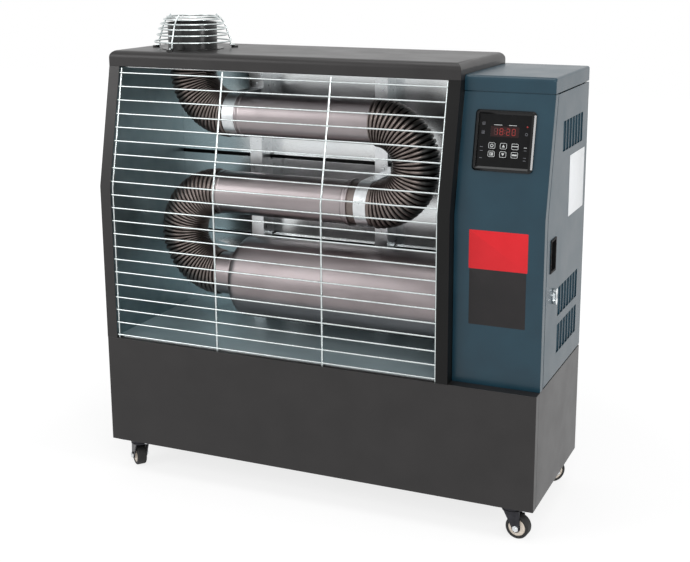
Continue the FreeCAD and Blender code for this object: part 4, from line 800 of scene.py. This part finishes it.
rib_end = Vector((flue_x, tube_y, elbow_centre.z))
pick_ring(rib_end)
rise = elbow_radius * math.pi / 2 / ELBOW_RIBS / RIB_RINGS
last_radius = GROOVE_RADIUS
for ring_radius in rib_profile(elbow_crest) * STRAIGHT_RIBS:
    extrude((0, 0, rise))
    rib_end.z += rise
    widen(ring_radius / last_radius, rib_end)
    last_radius = ring_radius
cuff(rib_end, Vector((0, 0, 1)), elbow_high.z - rib_end.z)


def elbow_middle(point):
    """Nearest point of the elbow's middle line, or None on a cuff."""
    if point.z > rib_end.z or point.x > elbow_centre.x:
        return None
    if point.z > elbow_centre.z:
        return Vector((flue_x, tube_y, point.z))
    angle = math.atan2(point.z - elbow_centre.z, point.x - elbow_centre.x)
    return on_arc(elbow_centre, elbow_radius, angle)


close_bend(elbow, "exhaust_elbow", elbow_crest, elbow_middle)

# %% [markdown]
# ## Beads on the tubes
# Each plain tube has a rolled bead near its end, which stiffens the joint with the bend. A bead is a ring
# that is turned from a circle: extruded along the tube, raised and brought down again. A torus would be
# quicker, but it would stand on the tube like a wire instead of flowing out of it.

# %% Tube beads
BEAD_SIDES = 96
BEAD_RISE = 1.3 * MM
BEAD_STEP = 1.5 * MM
BEAD_WALL = 0.3 * MM
BEAD_PROFILE = (0.8, 1.0, 0.8, 0.0)
STRAP_TO_BEAD = 30.0 * MM
BEND_TO_BEAD = 6.0 * MM
BEAD_TO_END = 14.0 * MM


def bead(name, node, x):
    """A raised ring round a tube, with its first edge at x."""
    z = axis_height(node)
    piece = start("circle", vertices=BEAD_SIDES, radius=tube_radius, location=(x, tube_y, z),
                  rotation=(0, math.pi / 2, 0))
    last = tube_radius
    for part in BEAD_PROFILE:
        wide = tube_radius + BEAD_RISE * part
        x += BEAD_STEP
        extrude((BEAD_STEP, 0, 0))
        widen(wide / last, Vector((x, tube_y, z)))
        last = wide
    bpy.ops.mesh.select_all(action="SELECT")
    bpy.ops.mesh.normals_make_consistent(inside=False)
    bpy.ops.object.mode_set(mode="OBJECT")
    modify(piece, "SOLIDIFY", thickness=BEAD_WALL, offset=-1.0)
    settle(piece, name, "heater", bright_tube, smooth=ROUND_ANGLE)


bead("top_tube_bead", "radiant_tube_top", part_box("tube_straps")[0].x + STRAP_TO_BEAD)
bead("middle_tube_bead", "radiant_tube_middle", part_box("lower_bend")[1].x + BEND_TO_BEAD)
bead("cuff_bead", "radiant_tube_middle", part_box("radiant_tube_middle")[1].x - BEAD_TO_END)
print("beads of", round(BEAD_RISE / MM, 1), "mm on both tubes")

# %% [markdown]
# ## Shadow gap under the cabinet cap
# The cap of the burner cabinet sits above its front panel with a thin dark gap. A painted line would not
# darken with the light, so the gap is real: the top edge of the dressed front panel is picked and moved
# down.

# %% Open the gap
CAP_GAP = 1.6 * MM
TOP_BAND = 1.0 * MM
front_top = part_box("cabinet_front_panel")[1].z
alone(skin_of["cabinet_front_panel"])
bpy.ops.object.mode_set(mode="EDIT")
pick("VERT", lambda v: v.co.z > front_top - TOP_BAND)
bpy.ops.transform.translate(value=(0, 0, -CAP_GAP))
bpy.ops.object.mode_set(mode="OBJECT")
print("gap of", round(CAP_GAP / MM, 1), "mm below the cap")

# %% [markdown]
# A folded lip of the cap stands behind the gap. It keeps the eye from looking through the cabinet and out
# of the slots in its back. It is made of two upright strips with round edges, along the front and round
# the corner.

# %% Lip behind the gap
LIP_THICK = 1.0 * MM
LIP_TALL = 10.0 * MM
LIP_INSET = 1.6 * MM
LIP_EDGE = 0.3 * MM
CORNER_WRAP = 18.0 * MM
lid_low, lid_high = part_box("cabinet_top_cap")
lip_y = lid_low.y + LIP_INSET
lip_x = lid_high.x - LIP_INSET


def join(pieces):
    """Join pieces into the first of them."""
    alone(pieces[0])
    for piece in pieces:
        piece.select_set(True)
    bpy.ops.object.join()
    return pieces[0]


def lip_strip(low_x, high_x, low_y, high_y):
    """An upright strip of sheet with round edges, half above and half below the gap."""
    strip = start("cube", size=1, scale=(high_x - low_x, high_y - low_y, LIP_TALL),
                  location=((low_x + high_x) / 2, (low_y + high_y) / 2, lid_low.z))
    bpy.ops.mesh.bevel(offset=LIP_EDGE, segments=2, affect="EDGES")
    bpy.ops.object.mode_set(mode="OBJECT")
    return strip


lip = join([lip_strip(lid_low.x + LIP_INSET, lip_x, lip_y, lip_y + LIP_THICK),
            lip_strip(lip_x - LIP_THICK, lip_x, lip_y, lid_low.y + CORNER_WRAP - LIP_INSET)])
settle(lip, "cabinet_cap_lip", "heater", slate)
print("lip behind the gap", round(LIP_TALL / MM, 1), "mm tall")

# %% [markdown]
# ## Round edge of the cabinet cap
# The cap is pressed over a form, so its upper edge on the right is round as the one in front is. That
# edge, with the arc at its front end, is picked by place on a copy of the cap and bevelled wide. The
# other edges then get the small bevel of the casing.

# %% Round the cap's right edge
CAP_ROUND = 4.5 * MM
CAP_ARC = 7.9 * MM
NEAR = 0.05 * MM
cap_skin = copy_of("cabinet_top_cap")
flatten(cap_skin)
bpy.ops.object.mode_set(mode="EDIT")
pick("EDGE", lambda e: all(v.co.x > lid_high.x - NEAR and v.co.z > lid_high.z - CAP_ARC for v in e.verts))
bpy.ops.mesh.bevel(offset=CAP_ROUND, segments=4, affect="EDGES")
bpy.ops.object.mode_set(mode="OBJECT")
round_edges(cap_skin, SHEET_EDGE)
settle(cap_skin, "cabinet_top_cap_dressed", "heater", slate,
       ["cabinet_top_cap"], smooth=TURNED_ANGLE)
modify(cap_skin, "WEIGHTED_NORMAL", keep_sharp=True)
print("cap edge rounded to", round(CAP_ROUND / MM, 1), "mm")

# %% [markdown]
# ## Feet of the flue guard
# The ribs of the wire guard stand on small black pads. The pads are part of the guard's mesh, so their
# faces are picked by place and given a second material.

# %% Black foot pads
FOOT_CIRCLE = 80.0 * MM
FOOT_TOP = 4.05 * MM
cap_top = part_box("top_cap")[1].z
flue_axis = Vector((flue_x, tube_y))


def on_foot(face):
    """Whether a face of the guard is low on the cap and far from the flue."""
    place = face.calc_center_median()
    return place.z < cap_top + FOOT_TOP and (place.xy - flue_axis).length > FOOT_CIRCLE


print("foot faces:", second_finish(skin_of["exhaust_guard"], stove_black, on_foot))

# %% [markdown]
# ## Pan head screws
# The casing and the straps are held by cross recess screws. The CAD screws are plain, so one detailed
# screw is modelled: a cylinder with a round shoulder and a shank extruded below, in which two tapered
# bits cut the cross by a Boolean.

# %% Model one screw
HEAD_RADIUS = 4.0 * MM
HEAD_HEIGHT = 2.2 * MM
HEAD_ROUND = 1.3 * MM
SHANK_RADIUS = 2.0 * MM
SHANK_LENGTH = 3.0 * MM
CROSS_LENGTH = 4.6 * MM
CROSS_WIDTH = 1.0 * MM
CROSS_DEPTH = 1.2 * MM
CROSS_TAPER = 0.7


def cross_screw():
    """A screw whose head sits on Z = 0 with its axis up."""
    piece = start("cylinder", vertices=32, radius=HEAD_RADIUS, depth=HEAD_HEIGHT,
                  location=(0, 0, HEAD_HEIGHT / 2))
    pick("FACE", lambda f: f.normal.z > FACING)
    bpy.ops.mesh.bevel(offset=HEAD_ROUND, segments=4, affect="EDGES")
    pick("FACE", lambda f: f.normal.z < -FACING)
    bpy.ops.mesh.inset(thickness=HEAD_RADIUS - SHANK_RADIUS)
    extrude((0, 0, -SHANK_LENGTH))
    bpy.ops.object.mode_set(mode="OBJECT")
    for size in ((CROSS_LENGTH, CROSS_WIDTH), (CROSS_WIDTH, CROSS_LENGTH)):
        bit = start("cube", scale=size + (CROSS_DEPTH * 2,), size=1, location=(0, 0, HEAD_HEIGHT))
        pick("FACE", lambda f: f.normal.z < -FACING)
        bpy.ops.transform.resize(value=(CROSS_TAPER, CROSS_TAPER, 1), center_override=(0, 0, 0))
        bpy.ops.object.mode_set(mode="OBJECT")
        modify(piece, "BOOLEAN", object=bit, operation="DIFFERENCE", solver="EXACT")
        bpy.data.objects.remove(bit)
    return piece


screw = cross_screw()
print("screw faces:", len(screw.data.polygons))

# %% [markdown]
# The screw is copied to the place of every CAD screw. All of these lie along Y, and the wider end of a
# CAD screw is its head, which tells whether it looks to the front or to the back.

# %% Copy it to every CAD screw
HEAD_OVER_SHANK = 1.5


def solids_of(node):
    """The separate solids of a CAD node, as loose objects."""
    copy_of(node)
    bpy.ops.object.mode_set(mode="EDIT")
    bpy.ops.mesh.select_all(action="SELECT")
    bpy.ops.mesh.separate(type="LOOSE")
    bpy.ops.object.mode_set(mode="OBJECT")
    return list(bpy.context.selected_objects)


def twin_of(piece, place):
    """A copy of a piece with its own mesh, at this place."""
    twin = piece.copy()
    twin.data = piece.data.copy()
    twin.matrix_world = place
    bpy.context.collection.objects.link(twin)
    return twin


screws = []
for solid in solids_of("casing_screws"):
    points = [v.co for v in solid.data.vertices]
    middle = sum(points, Vector()) / len(points)
    low_y = min(p.y for p in points)
    high_y = max(p.y for p in points)
    front_end = max((p.xz - middle.xz).length for p in points if p.y < low_y + MERGE)
    out = -1 if front_end > SHANK_RADIUS * HEAD_OVER_SHANK else 1
    seat = low_y + HEAD_HEIGHT if out < 0 else high_y - HEAD_HEIGHT
    turn = Matrix.Rotation(-out * math.pi / 2, 4, "X")
    screws.append(twin_of(screw, Matrix.Translation((middle.x, seat, middle.z)) @ turn))
    bpy.data.objects.remove(solid)
bpy.data.objects.remove(screw)
print("screws placed:", len(screws))
settle(join(screws), "casing_screws_dressed", "heater", zinc, ["casing_screws"])

# %% [markdown]
# ## Casters
# Each wheel node holds a hub and a tyre. They are taken apart, because the hub is cream nylon and the
# tyre black rubber, and each gets its own finish.

# %% Wheels
HUB_EDGE = 0.6
TYRE_ANGLE = 50.0
corners = ("front_left", "front_right", "rear_left", "rear_right")
for corner in corners:
    node = "caster_wheel_" + corner
    hub, tyre = sorted(solids_of(node), key=lambda solid: max(solid.dimensions))
    flatten(hub)
    round_edges(hub, HUB_EDGE)
    settle(hub, "hub_" + corner, body_of[node], hub_nylon, [node])
    settle(tyre, "tyre_" + corner, body_of[node], tyre_rubber, smooth=TYRE_ANGLE)
print("wheels taken apart:", len(corners))

# %% [markdown]
# The forks and plates keep their CAD shape with small bevels. A bright hexagon nut closes the axle on
# both sides of each fork. It is a six-sided cylinder whose end face is inset and lifted for the chamfer,
# and inset again for the end of the axle.

# %% Forks and axle nuts
FORK_EDGE = 0.4
PLATE_EDGE = 0.3
NUT_RADIUS = 6.4 * MM
NUT_HEIGHT = 3.4 * MM
NUT_CHAMFER = 0.8 * MM
NUT_CROWN = 0.5 * MM
NUT_RIM = 2.4 * MM
AXLE_END = 0.6 * MM
joint_of = {joint["name"]: joint for joint in frame["joints"]}


def axle_nut(place):
    """A nut on the Z axis with the end of the axle in it, moved to its place."""
    nut = start("cylinder", vertices=6, radius=NUT_RADIUS, depth=NUT_HEIGHT)
    pick("FACE", lambda f: f.normal.z > FACING)
    bpy.ops.mesh.inset(thickness=NUT_CHAMFER)
    bpy.ops.transform.translate(value=(0, 0, NUT_CROWN))
    bpy.ops.mesh.inset(thickness=NUT_RIM)
    extrude((0, 0, AXLE_END))
    bpy.ops.object.mode_set(mode="OBJECT")
    nut.matrix_world = place
    return nut


for corner in corners:
    fork = "caster_fork_" + corner
    dress(fork, bevel_mm=FORK_EDGE)
    axle = Vector(joint_of["roll_" + corner]["pos_m"])
    along = Vector(joint_of["roll_" + corner]["axis"])
    reach = max(abs((v.co - axle).dot(along)) for v in frame["nodes"][fork].data.vertices
                if (v.co - axle).cross(along).length < NUT_RADIUS)
    nuts = []
    for end in (along, -along):
        turn = end.to_track_quat("Z", "Y").to_matrix().to_4x4()
        nuts.append(axle_nut(Matrix.Translation(axle + end * (reach - NUT_HEIGHT / 2)) @ turn))
    settle(join(nuts), "axle_nuts_" + corner, body_of[fork], zinc)
for node in ("caster_plates", "caster_bolts"):
    dress(node, bevel_mm=PLATE_EDGE)
print("forks with nuts:", len(corners))

# %% [markdown]
# ## Keypad frame
# The keypad leans with the cabinet front. Its own axes come from the key joints: they point inwards,
# square to the panel. With them a place on the keypad is given by three plain numbers: across, up the
# slope and outward.

# %% Keypad axes
WINDOW_UP = 16.5 * MM
WINDOW_MIDDLE = 1.85 * MM
outward = -Vector(joint_of["key_power_press"]["axis"])
across = Vector((1, 0, 0))
upslope = outward.cross(across)
window_low, window_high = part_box("display_window")
panel_origin = (window_low + window_high) / 2 - upslope * WINDOW_UP - outward * WINDOW_MIDDLE
panel = Matrix.Translation(panel_origin) @ Matrix((across, upslope, outward)).transposed().to_4x4()
from_panel = panel.inverted()
print("keypad leans", round(math.degrees(math.asin(outward.z)), 2), "degrees")

# %% [markdown]
# The frame of the keypad is a gloss moulding whose rim is rounded on both sides. A bevel of the whole
# mesh would round its hidden edges too, so only the rim's edges are picked and bevelled. The sunk face
# inside the rim is covered by a satin film, a second material.

# %% Keypad rim
RIM_TOP = 7.0 * MM
RIM_ROUND = 3.0 * MM
RIM_EDGE = 0.3
RIM_ANGLE = 30.0
CORNER_ANGLE = 0.5
FILM_FACING = 0.99
GLASS_EDGE = 0.2
rim = copy_of("control_bezel")
flatten(rim)
bpy.ops.object.mode_set(mode="EDIT")
pick("EDGE", lambda e: len(e.link_faces) == 2 and e.calc_face_angle() > CORNER_ANGLE
     and all((from_panel @ v.co).z > RIM_TOP - NEAR for v in e.verts))
bpy.ops.mesh.bevel(offset=RIM_ROUND, segments=1, affect="EDGES")
bpy.ops.object.mode_set(mode="OBJECT")
round_edges(rim, RIM_EDGE, RIM_ANGLE)
settle(rim, "control_bezel_dressed", "heater", gloss_abs, ["control_bezel"],
       smooth=TURNED_ANGLE)
modify(rim, "WEIGHTED_NORMAL", keep_sharp=True)
print("film faces:", second_finish(
    rim, key_film,
    lambda f: f.normal.dot(outward) > FILM_FACING
    and (from_panel @ f.calc_center_median()).z < RIM_TOP / 2))
dress("display_window", bevel_mm=GLASS_EDGE)

# %% [markdown]
# ## Prints on the keypad
# Digits, key signs and marks are all thin flat shapes. Most start as a plane with cut or rounded corners
# and a few as a circle. Each is laid at its place on the keypad and joined with its neighbours, before
# Solidify gives the thickness of ink. An image would be easier, but it would blur when seen close.

# %% Flat shapes
INK = 0.06 * MM


def flat(wide, tall, corner, segments=4):
    """A flat sheet at the origin with cut or rounded corners, open for editing."""
    piece = start("plane", scale=(wide, tall, 1), size=1)
    bpy.ops.mesh.bevel(offset=corner, segments=segments, affect="VERTICES")
    return piece


def lay(piece, across_by, up_by, turn=0.0):
    """Leave edit mode and put a flat shape at its place on the keypad."""
    bpy.ops.object.mode_set(mode="OBJECT")
    spin = Matrix.Rotation(math.radians(turn), 4, "Z")
    piece.matrix_world = Matrix.Translation((across_by, up_by, 0)) @ spin
    return piece


def print_on(pieces, name, body, finish, height):
    """Join flat shapes, give them the thickness of ink and set them on the keypad at this height."""
    piece = join(pieces)
    bpy.ops.object.transform_apply(location=True, rotation=True, scale=True)
    modify(piece, "SOLIDIFY", thickness=INK, offset=1.0)
    settle(piece, name, body, finish, place=panel @ Matrix.Translation((0, 0, height)))


# %% [markdown]
# ## Display digits
# The display shows seven-segment numbers behind red acrylic. One segment is a thin bar with pointed ends.
# It is laid for each place of each digit, lit or unlit, so that the dark segments show as they do on a
# real display.

# %% Seven segments
GLASS_TOP = 3.22 * MM
BAR_LENGTH = 5.6 * MM
BAR_WIDE = 1.15 * MM
BAR_GAP = 0.3 * MM
BAR_POINT = 0.49
DIGIT_PITCH = 10.2 * MM
COLON_ROOM = 3.4 * MM
COLON_DOT = 1.3 * MM
COLON_ROUND = 0.3
COLON_RISE = 0.8
SHOWN = "1820"
LIT_BARS = {"0": "abcdef", "1": "bc", "2": "abged", "8": "abcdefg"}
UPRIGHT = 90.0
half = BAR_LENGTH / 2
BAR_PLACES = {"a": (0, 2 * half, 0), "g": (0, 0, 0), "d": (0, -2 * half, 0), "f": (-half, half, UPRIGHT),
              "b": (half, half, UPRIGHT), "e": (-half, -half, UPRIGHT), "c": (half, -half, UPRIGHT)}
middle_place = (len(SHOWN) - 1) / 2
lit = []
unlit = []
for i, figure in enumerate(SHOWN):
    side = -1 if i < middle_place else 1
    digit_x = (i - middle_place) * DIGIT_PITCH + side * (COLON_ROOM - DIGIT_PITCH / 2 + half)
    for letter, (x, y, turn) in BAR_PLACES.items():
        bar = flat(BAR_LENGTH - BAR_GAP, BAR_WIDE, BAR_WIDE * BAR_POINT, segments=1)
        lay(bar, digit_x + x, WINDOW_UP + y, turn)
        (lit if letter in LIT_BARS[figure] else unlit).append(bar)
for y in (-half * COLON_RISE, half * COLON_RISE):
    lit.append(lay(flat(COLON_DOT, COLON_DOT, COLON_DOT * COLON_ROUND), 0, WINDOW_UP + y))
print("segments lit:", len(lit), "unlit:", len(unlit))
print_on(lit, "display_lit", "heater", lit_red, GLASS_TOP)
print_on(unlit, "display_unlit", "heater", unlit_red, GLASS_TOP)

# %% [markdown]
# ## Key signs
# Each key is a soft pad with a printed white frame and a plain symbol: a ring, arrows, bars or a small
# window. A frame or a ring is a filled shape whose middle is inset and deleted. Sizes of a symbol are
# shares of one size.

# %% Key symbols
FRAME_WIDE = 12.6 * MM
FRAME_TALL = 10.8 * MM
FRAME_CORNER = 2.4 * MM
FRAME_LINE = 0.75 * MM
SYMBOL = 3.0 * MM
RING_LINE = SYMBOL * 0.36
ARROW = SYMBOL * 1.1
ARROW_POINT = ARROW * 0.12
HALF_TURN = 180.0
NUDGE = SYMBOL * 0.2
# width, height and corner of each bar, and the line of the small window
WINDOW_FRAME = (SYMBOL * 2.2, SYMBOL * 1.9, SYMBOL * 0.2, SYMBOL * 0.3)
WINDOW_BAR = (SYMBOL * 1.2, SYMBOL * 0.8, SYMBOL * 0.1)
THIN_BAR = (FRAME_WIDE - FRAME_LINE, SYMBOL * 0.5, SYMBOL * 0.1)
WIDE_BAR = (SYMBOL * 3, SYMBOL * 0.9, SYMBOL * 0.2)


def hollow(piece, line):
    """Leave only a line of this width along the edge of a flat shape."""
    bpy.ops.mesh.inset(thickness=line)
    bpy.ops.mesh.delete(type="FACE")
    return piece


def outline(wide, tall, corner, line):
    """A rounded frame of this line width."""
    piece = flat(wide, tall, corner)
    bpy.ops.mesh.select_all(action="SELECT")
    return hollow(piece, line)


def ring(radius, line):
    """A ring of this line width."""
    return hollow(start("circle", vertices=40, radius=radius, fill_type="NGON"), line)


def arrow():
    """A triangle with rounded points."""
    piece = start("circle", vertices=3, radius=ARROW, fill_type="NGON")
    bpy.ops.mesh.bevel(offset=ARROW_POINT, segments=2, affect="VERTICES")
    return piece


def key_symbol(key, x, y):
    """The symbol of a key, laid round the point x across and y up."""
    if key == "key_power":
        return [lay(ring(SYMBOL, RING_LINE), x, y)]
    if key == "key_up":
        return [lay(arrow(), x, y - NUDGE)]
    if key == "key_down":
        return [lay(arrow(), x, y + NUDGE, HALF_TURN)]
    if key == "key_timer":
        return [lay(outline(*WINDOW_FRAME), x, y), lay(flat(*WINDOW_BAR), x + NUDGE, y - NUDGE / 2)]
    if key == "key_mode":
        return [lay(flat(*THIN_BAR), x, y + NUDGE / 2)]
    return [lay(flat(*WIDE_BAR), x, y)]


# %% [markdown]
# Pad and print ride on the key's own body, so they sink together when it is pressed. The middle of each
# key is measured on its CAD mesh, in the keypad's own axes.

# %% Dress and print the keys
KEY_EDGE = 0.3
keys = ("key_power", "key_up", "key_mode", "key_timer", "key_down", "key_lock")
for key in keys:
    dress(key, bevel_mm=KEY_EDGE)
    spots = [from_panel @ v.co for v in frame["nodes"][key].data.vertices]
    key_x = (min(p.x for p in spots) + max(p.x for p in spots)) / 2
    key_y = (min(p.y for p in spots) + max(p.y for p in spots)) / 2
    top = max(p.z for p in spots)
    frame_print = lay(outline(FRAME_WIDE, FRAME_TALL, FRAME_CORNER, FRAME_LINE), key_x, key_y)
    print_on([frame_print] + key_symbol(key, key_x, key_y), key + "_print", body_of[key], white_ink,
             top)
print("keys printed:", len(keys))

# %% [markdown]
# ## Small marks on the keypad
# Beside the display and the keys are a few small printed signs. They are kept plain: frames, dashes and a
# ring in grey and white ink, in a column on either side.

# %% Keypad marks
FACE_TOP = 3.0 * MM
SIGN = 5.2 * MM
SIGN_CORNER = SIGN * 0.15
SIGN_LINE = SIGN * 0.14
SIGN_CORE = (SIGN * 0.3, SIGN * 0.45, SIGN * 0.05)
SIGN_RING = (SIGN * 0.5, SIGN * 0.16)
DASH_TALL = 1.0 * MM
DASH_CORNER = 0.2 * MM
SIGN_COLUMN = -40 * MM
DASH_COLUMN = -41 * MM
RIGHT_COLUMN = 40 * MM
SIGN_ROWS = (30 * MM, 14 * MM)
LEFT_DASH_ROWS = (-12 * MM, -19 * MM, -32 * MM)
RIGHT_DASH_ROWS = (-15 * MM, -28 * MM, -33 * MM)
RING_ROW = 14 * MM
WHITE_ROW = -10 * MM
WHITE_TALL = 1.1 * MM
CAPTION_ROW = 28.4 * MM
CAPTION_PLACES = (-13 * MM, 14 * MM)
CAPTION_WIDE = 15 * MM
CAPTION_TALL = 0.9 * MM


def dash(x, y, wide=SIGN, tall=DASH_TALL):
    """A short printed line."""
    return lay(flat(wide, tall, DASH_CORNER), x, y)


grey_marks = [lay(outline(SIGN, SIGN, SIGN_CORNER, SIGN_LINE), SIGN_COLUMN, y) for y in SIGN_ROWS]
grey_marks += [lay(flat(*SIGN_CORE), SIGN_COLUMN, y) for y in SIGN_ROWS]
grey_marks += [dash(DASH_COLUMN, y) for y in LEFT_DASH_ROWS]
grey_marks += [dash(RIGHT_COLUMN, y) for y in RIGHT_DASH_ROWS]
grey_marks.append(lay(ring(*SIGN_RING), RIGHT_COLUMN, RING_ROW))
white_marks = [dash(RIGHT_COLUMN, WHITE_ROW, tall=WHITE_TALL)]
white_marks += [dash(x, CAPTION_ROW, CAPTION_WIDE, CAPTION_TALL) for x in CAPTION_PLACES]
print("marks:", len(grey_marks) + len(white_marks))
print_on(grey_marks, "keypad_signs", "heater", grey_ink, FACE_TOP)
print_on(white_marks, "keypad_dashes", "heater", white_ink, FACE_TOP)

# %% [markdown]
# One red indicator lamp stands beside the display. It is a dome: a disc that is extruded in three steps,
# each lower and narrower than the one before. Half of a sphere would do too, with more points than so
# small a lamp can show.

# %% Indicator lamp
LAMP_RADIUS = 1.7 * MM
LAMP_PLACE = (41 * MM, 27 * MM, FACE_TOP)
DOME_STEPS = ((0.5 * MM, 0.94), (0.4 * MM, 0.75), (0.2 * MM, 0.4))
lamp_dome = start("circle", vertices=24, radius=LAMP_RADIUS, fill_type="NGON")
for lift, shrink in DOME_STEPS:
    extrude((0, 0, lift))
    bpy.ops.transform.resize(value=(shrink, shrink, 1), center_override=(0, 0, 0))
settle(lamp_dome, "indicator_lamp", "heater", lit_red,
       place=panel @ Matrix.Translation(LAMP_PLACE), smooth=ROUND_ANGLE)
print("indicator lamp", round(2 * LAMP_RADIUS / MM, 1), "mm across")

# %% [markdown]
# ## Bare film plates
# A red and a black film sit on the cabinet front and a white one on the door. They carry nothing. Each is
# a flat sheet with rounded corners and the thickness of vinyl, so that its edge catches a little light.
# Colour on the panel's own faces would need the panel cut along the outline of the plate.

# %% Film plates
FILM = 0.25 * MM
FILM_CORNER = 1.5 * MM
FILM_EDGE = 0.4
RED_INSET = 85.2 * MM
RED_RISE = 257.5 * MM
BLACK_INSET = 85.5 * MM
BLACK_RISE = 168.75 * MM
WHITE_INSET = 77.0 * MM
WHITE_RISE = 353.5 * MM
z_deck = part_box("base_deck")[1].z
x_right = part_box("cabinet_front_panel")[1].x
y_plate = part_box("cabinet_front_panel")[0].y
door_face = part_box("cabinet_door")[1].x
door_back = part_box("cabinet_door")[1].y
ON_FRONT = Matrix(((1, 0, 0), (0, 0, -1), (0, 1, 0))).to_4x4()
ON_DOOR = Matrix(((0, 0, 1), (1, 0, 0), (0, 1, 0))).to_4x4()


def film(name, finish, body, wide_mm, tall_mm, middle, facing):
    """A plate of film with its back on the panel at its middle."""
    piece = flat(wide_mm * MM, tall_mm * MM, FILM_CORNER)
    bpy.ops.object.mode_set(mode="OBJECT")
    modify(piece, "SOLIDIFY", thickness=FILM, offset=1.0)
    modify(piece, "BEVEL", width=FILM * FILM_EDGE, segments=2, limit_method="ANGLE")
    settle(piece, name, body, finish, place=Matrix.Translation(middle) @ facing)
    print(name, wide_mm, "by", tall_mm, "mm")


film("red_plate", red_vinyl, "heater", wide_mm=110.5, tall_mm=72.0,
     middle=(x_right - RED_INSET, y_plate, z_deck + RED_RISE), facing=ON_FRONT)
film("black_plate", black_vinyl, "heater", wide_mm=107.0, tall_mm=105.5,
     middle=(x_right - BLACK_INSET, y_plate, z_deck + BLACK_RISE), facing=ON_FRONT)
film("white_plate", white_vinyl, "door", wide_mm=116.0, tall_mm=117.0,
     middle=(door_face, door_back - WHITE_INSET, z_deck + WHITE_RISE), facing=ON_DOOR)

# %% [markdown]
# ## Door louvres
# The slots of the door are pressed louvres: behind each slot a blade leans inwards and forwards from the
# slot's rear edge, so that light and rain stay out while air passes. It is taller than its slot, so its
# ends stay behind the sheet. One blade is bevelled and tapered, then copied. Pressing the blades out of
# the door's own mesh would mean new cuts round every slot.

# %% Louvre blades
SLOT_FIRST = 133.0 * MM
SLOT_PITCH = 22.0 * MM
SLOT_WIDE = 18.5 * MM
SLOT_TALL = 56.0 * MM
SLOT_COUNT = 7
SLOT_RISES = (42.0 * MM, 115.0 * MM, 427.0 * MM)
DOOR_SHEET = 1.5 * MM
BLADE_THICK = 1.0 * MM
BLADE_TALL = 66.0 * MM
BLADE_REACH = 20.5 * MM
BLADE_EDGE = 0.3 * MM
BLADE_TAPER = 0.93
BLADE_LEAN = 30.0
y_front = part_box("base_deck")[0].y
hinge_x = door_face - DOOR_SHEET - BLADE_THICK / 2


def louvre_blade():
    """A blade whose hinge edge is the Z axis and that reaches towards -Y."""
    piece = start("cube", scale=(BLADE_THICK, BLADE_REACH, BLADE_TALL), size=1,
                  location=(0, -BLADE_REACH / 2, 0))
    bpy.ops.mesh.bevel(offset=BLADE_EDGE, segments=2, affect="EDGES")
    pick("VERT", lambda v: v.co.y < -BLADE_REACH / 2)
    bpy.ops.transform.resize(value=(1, 1, BLADE_TAPER), center_override=(0, 0, 0))
    bpy.ops.object.mode_set(mode="OBJECT")
    return piece


first_blade = louvre_blade()
lean = Matrix.Rotation(-math.radians(BLADE_LEAN), 4, "Z")
blades = []
for slot_rise in SLOT_RISES:
    for i in range(SLOT_COUNT):
        hinge = (hinge_x, y_front + SLOT_FIRST + SLOT_PITCH * i + SLOT_WIDE,
                 z_deck + slot_rise + SLOT_TALL / 2)
        blades.append(twin_of(first_blade, Matrix.Translation(hinge) @ lean))
bpy.data.objects.remove(first_blade)
print("louvre blades:", len(blades))
settle(join(blades), "door_louvres", "door", slate)
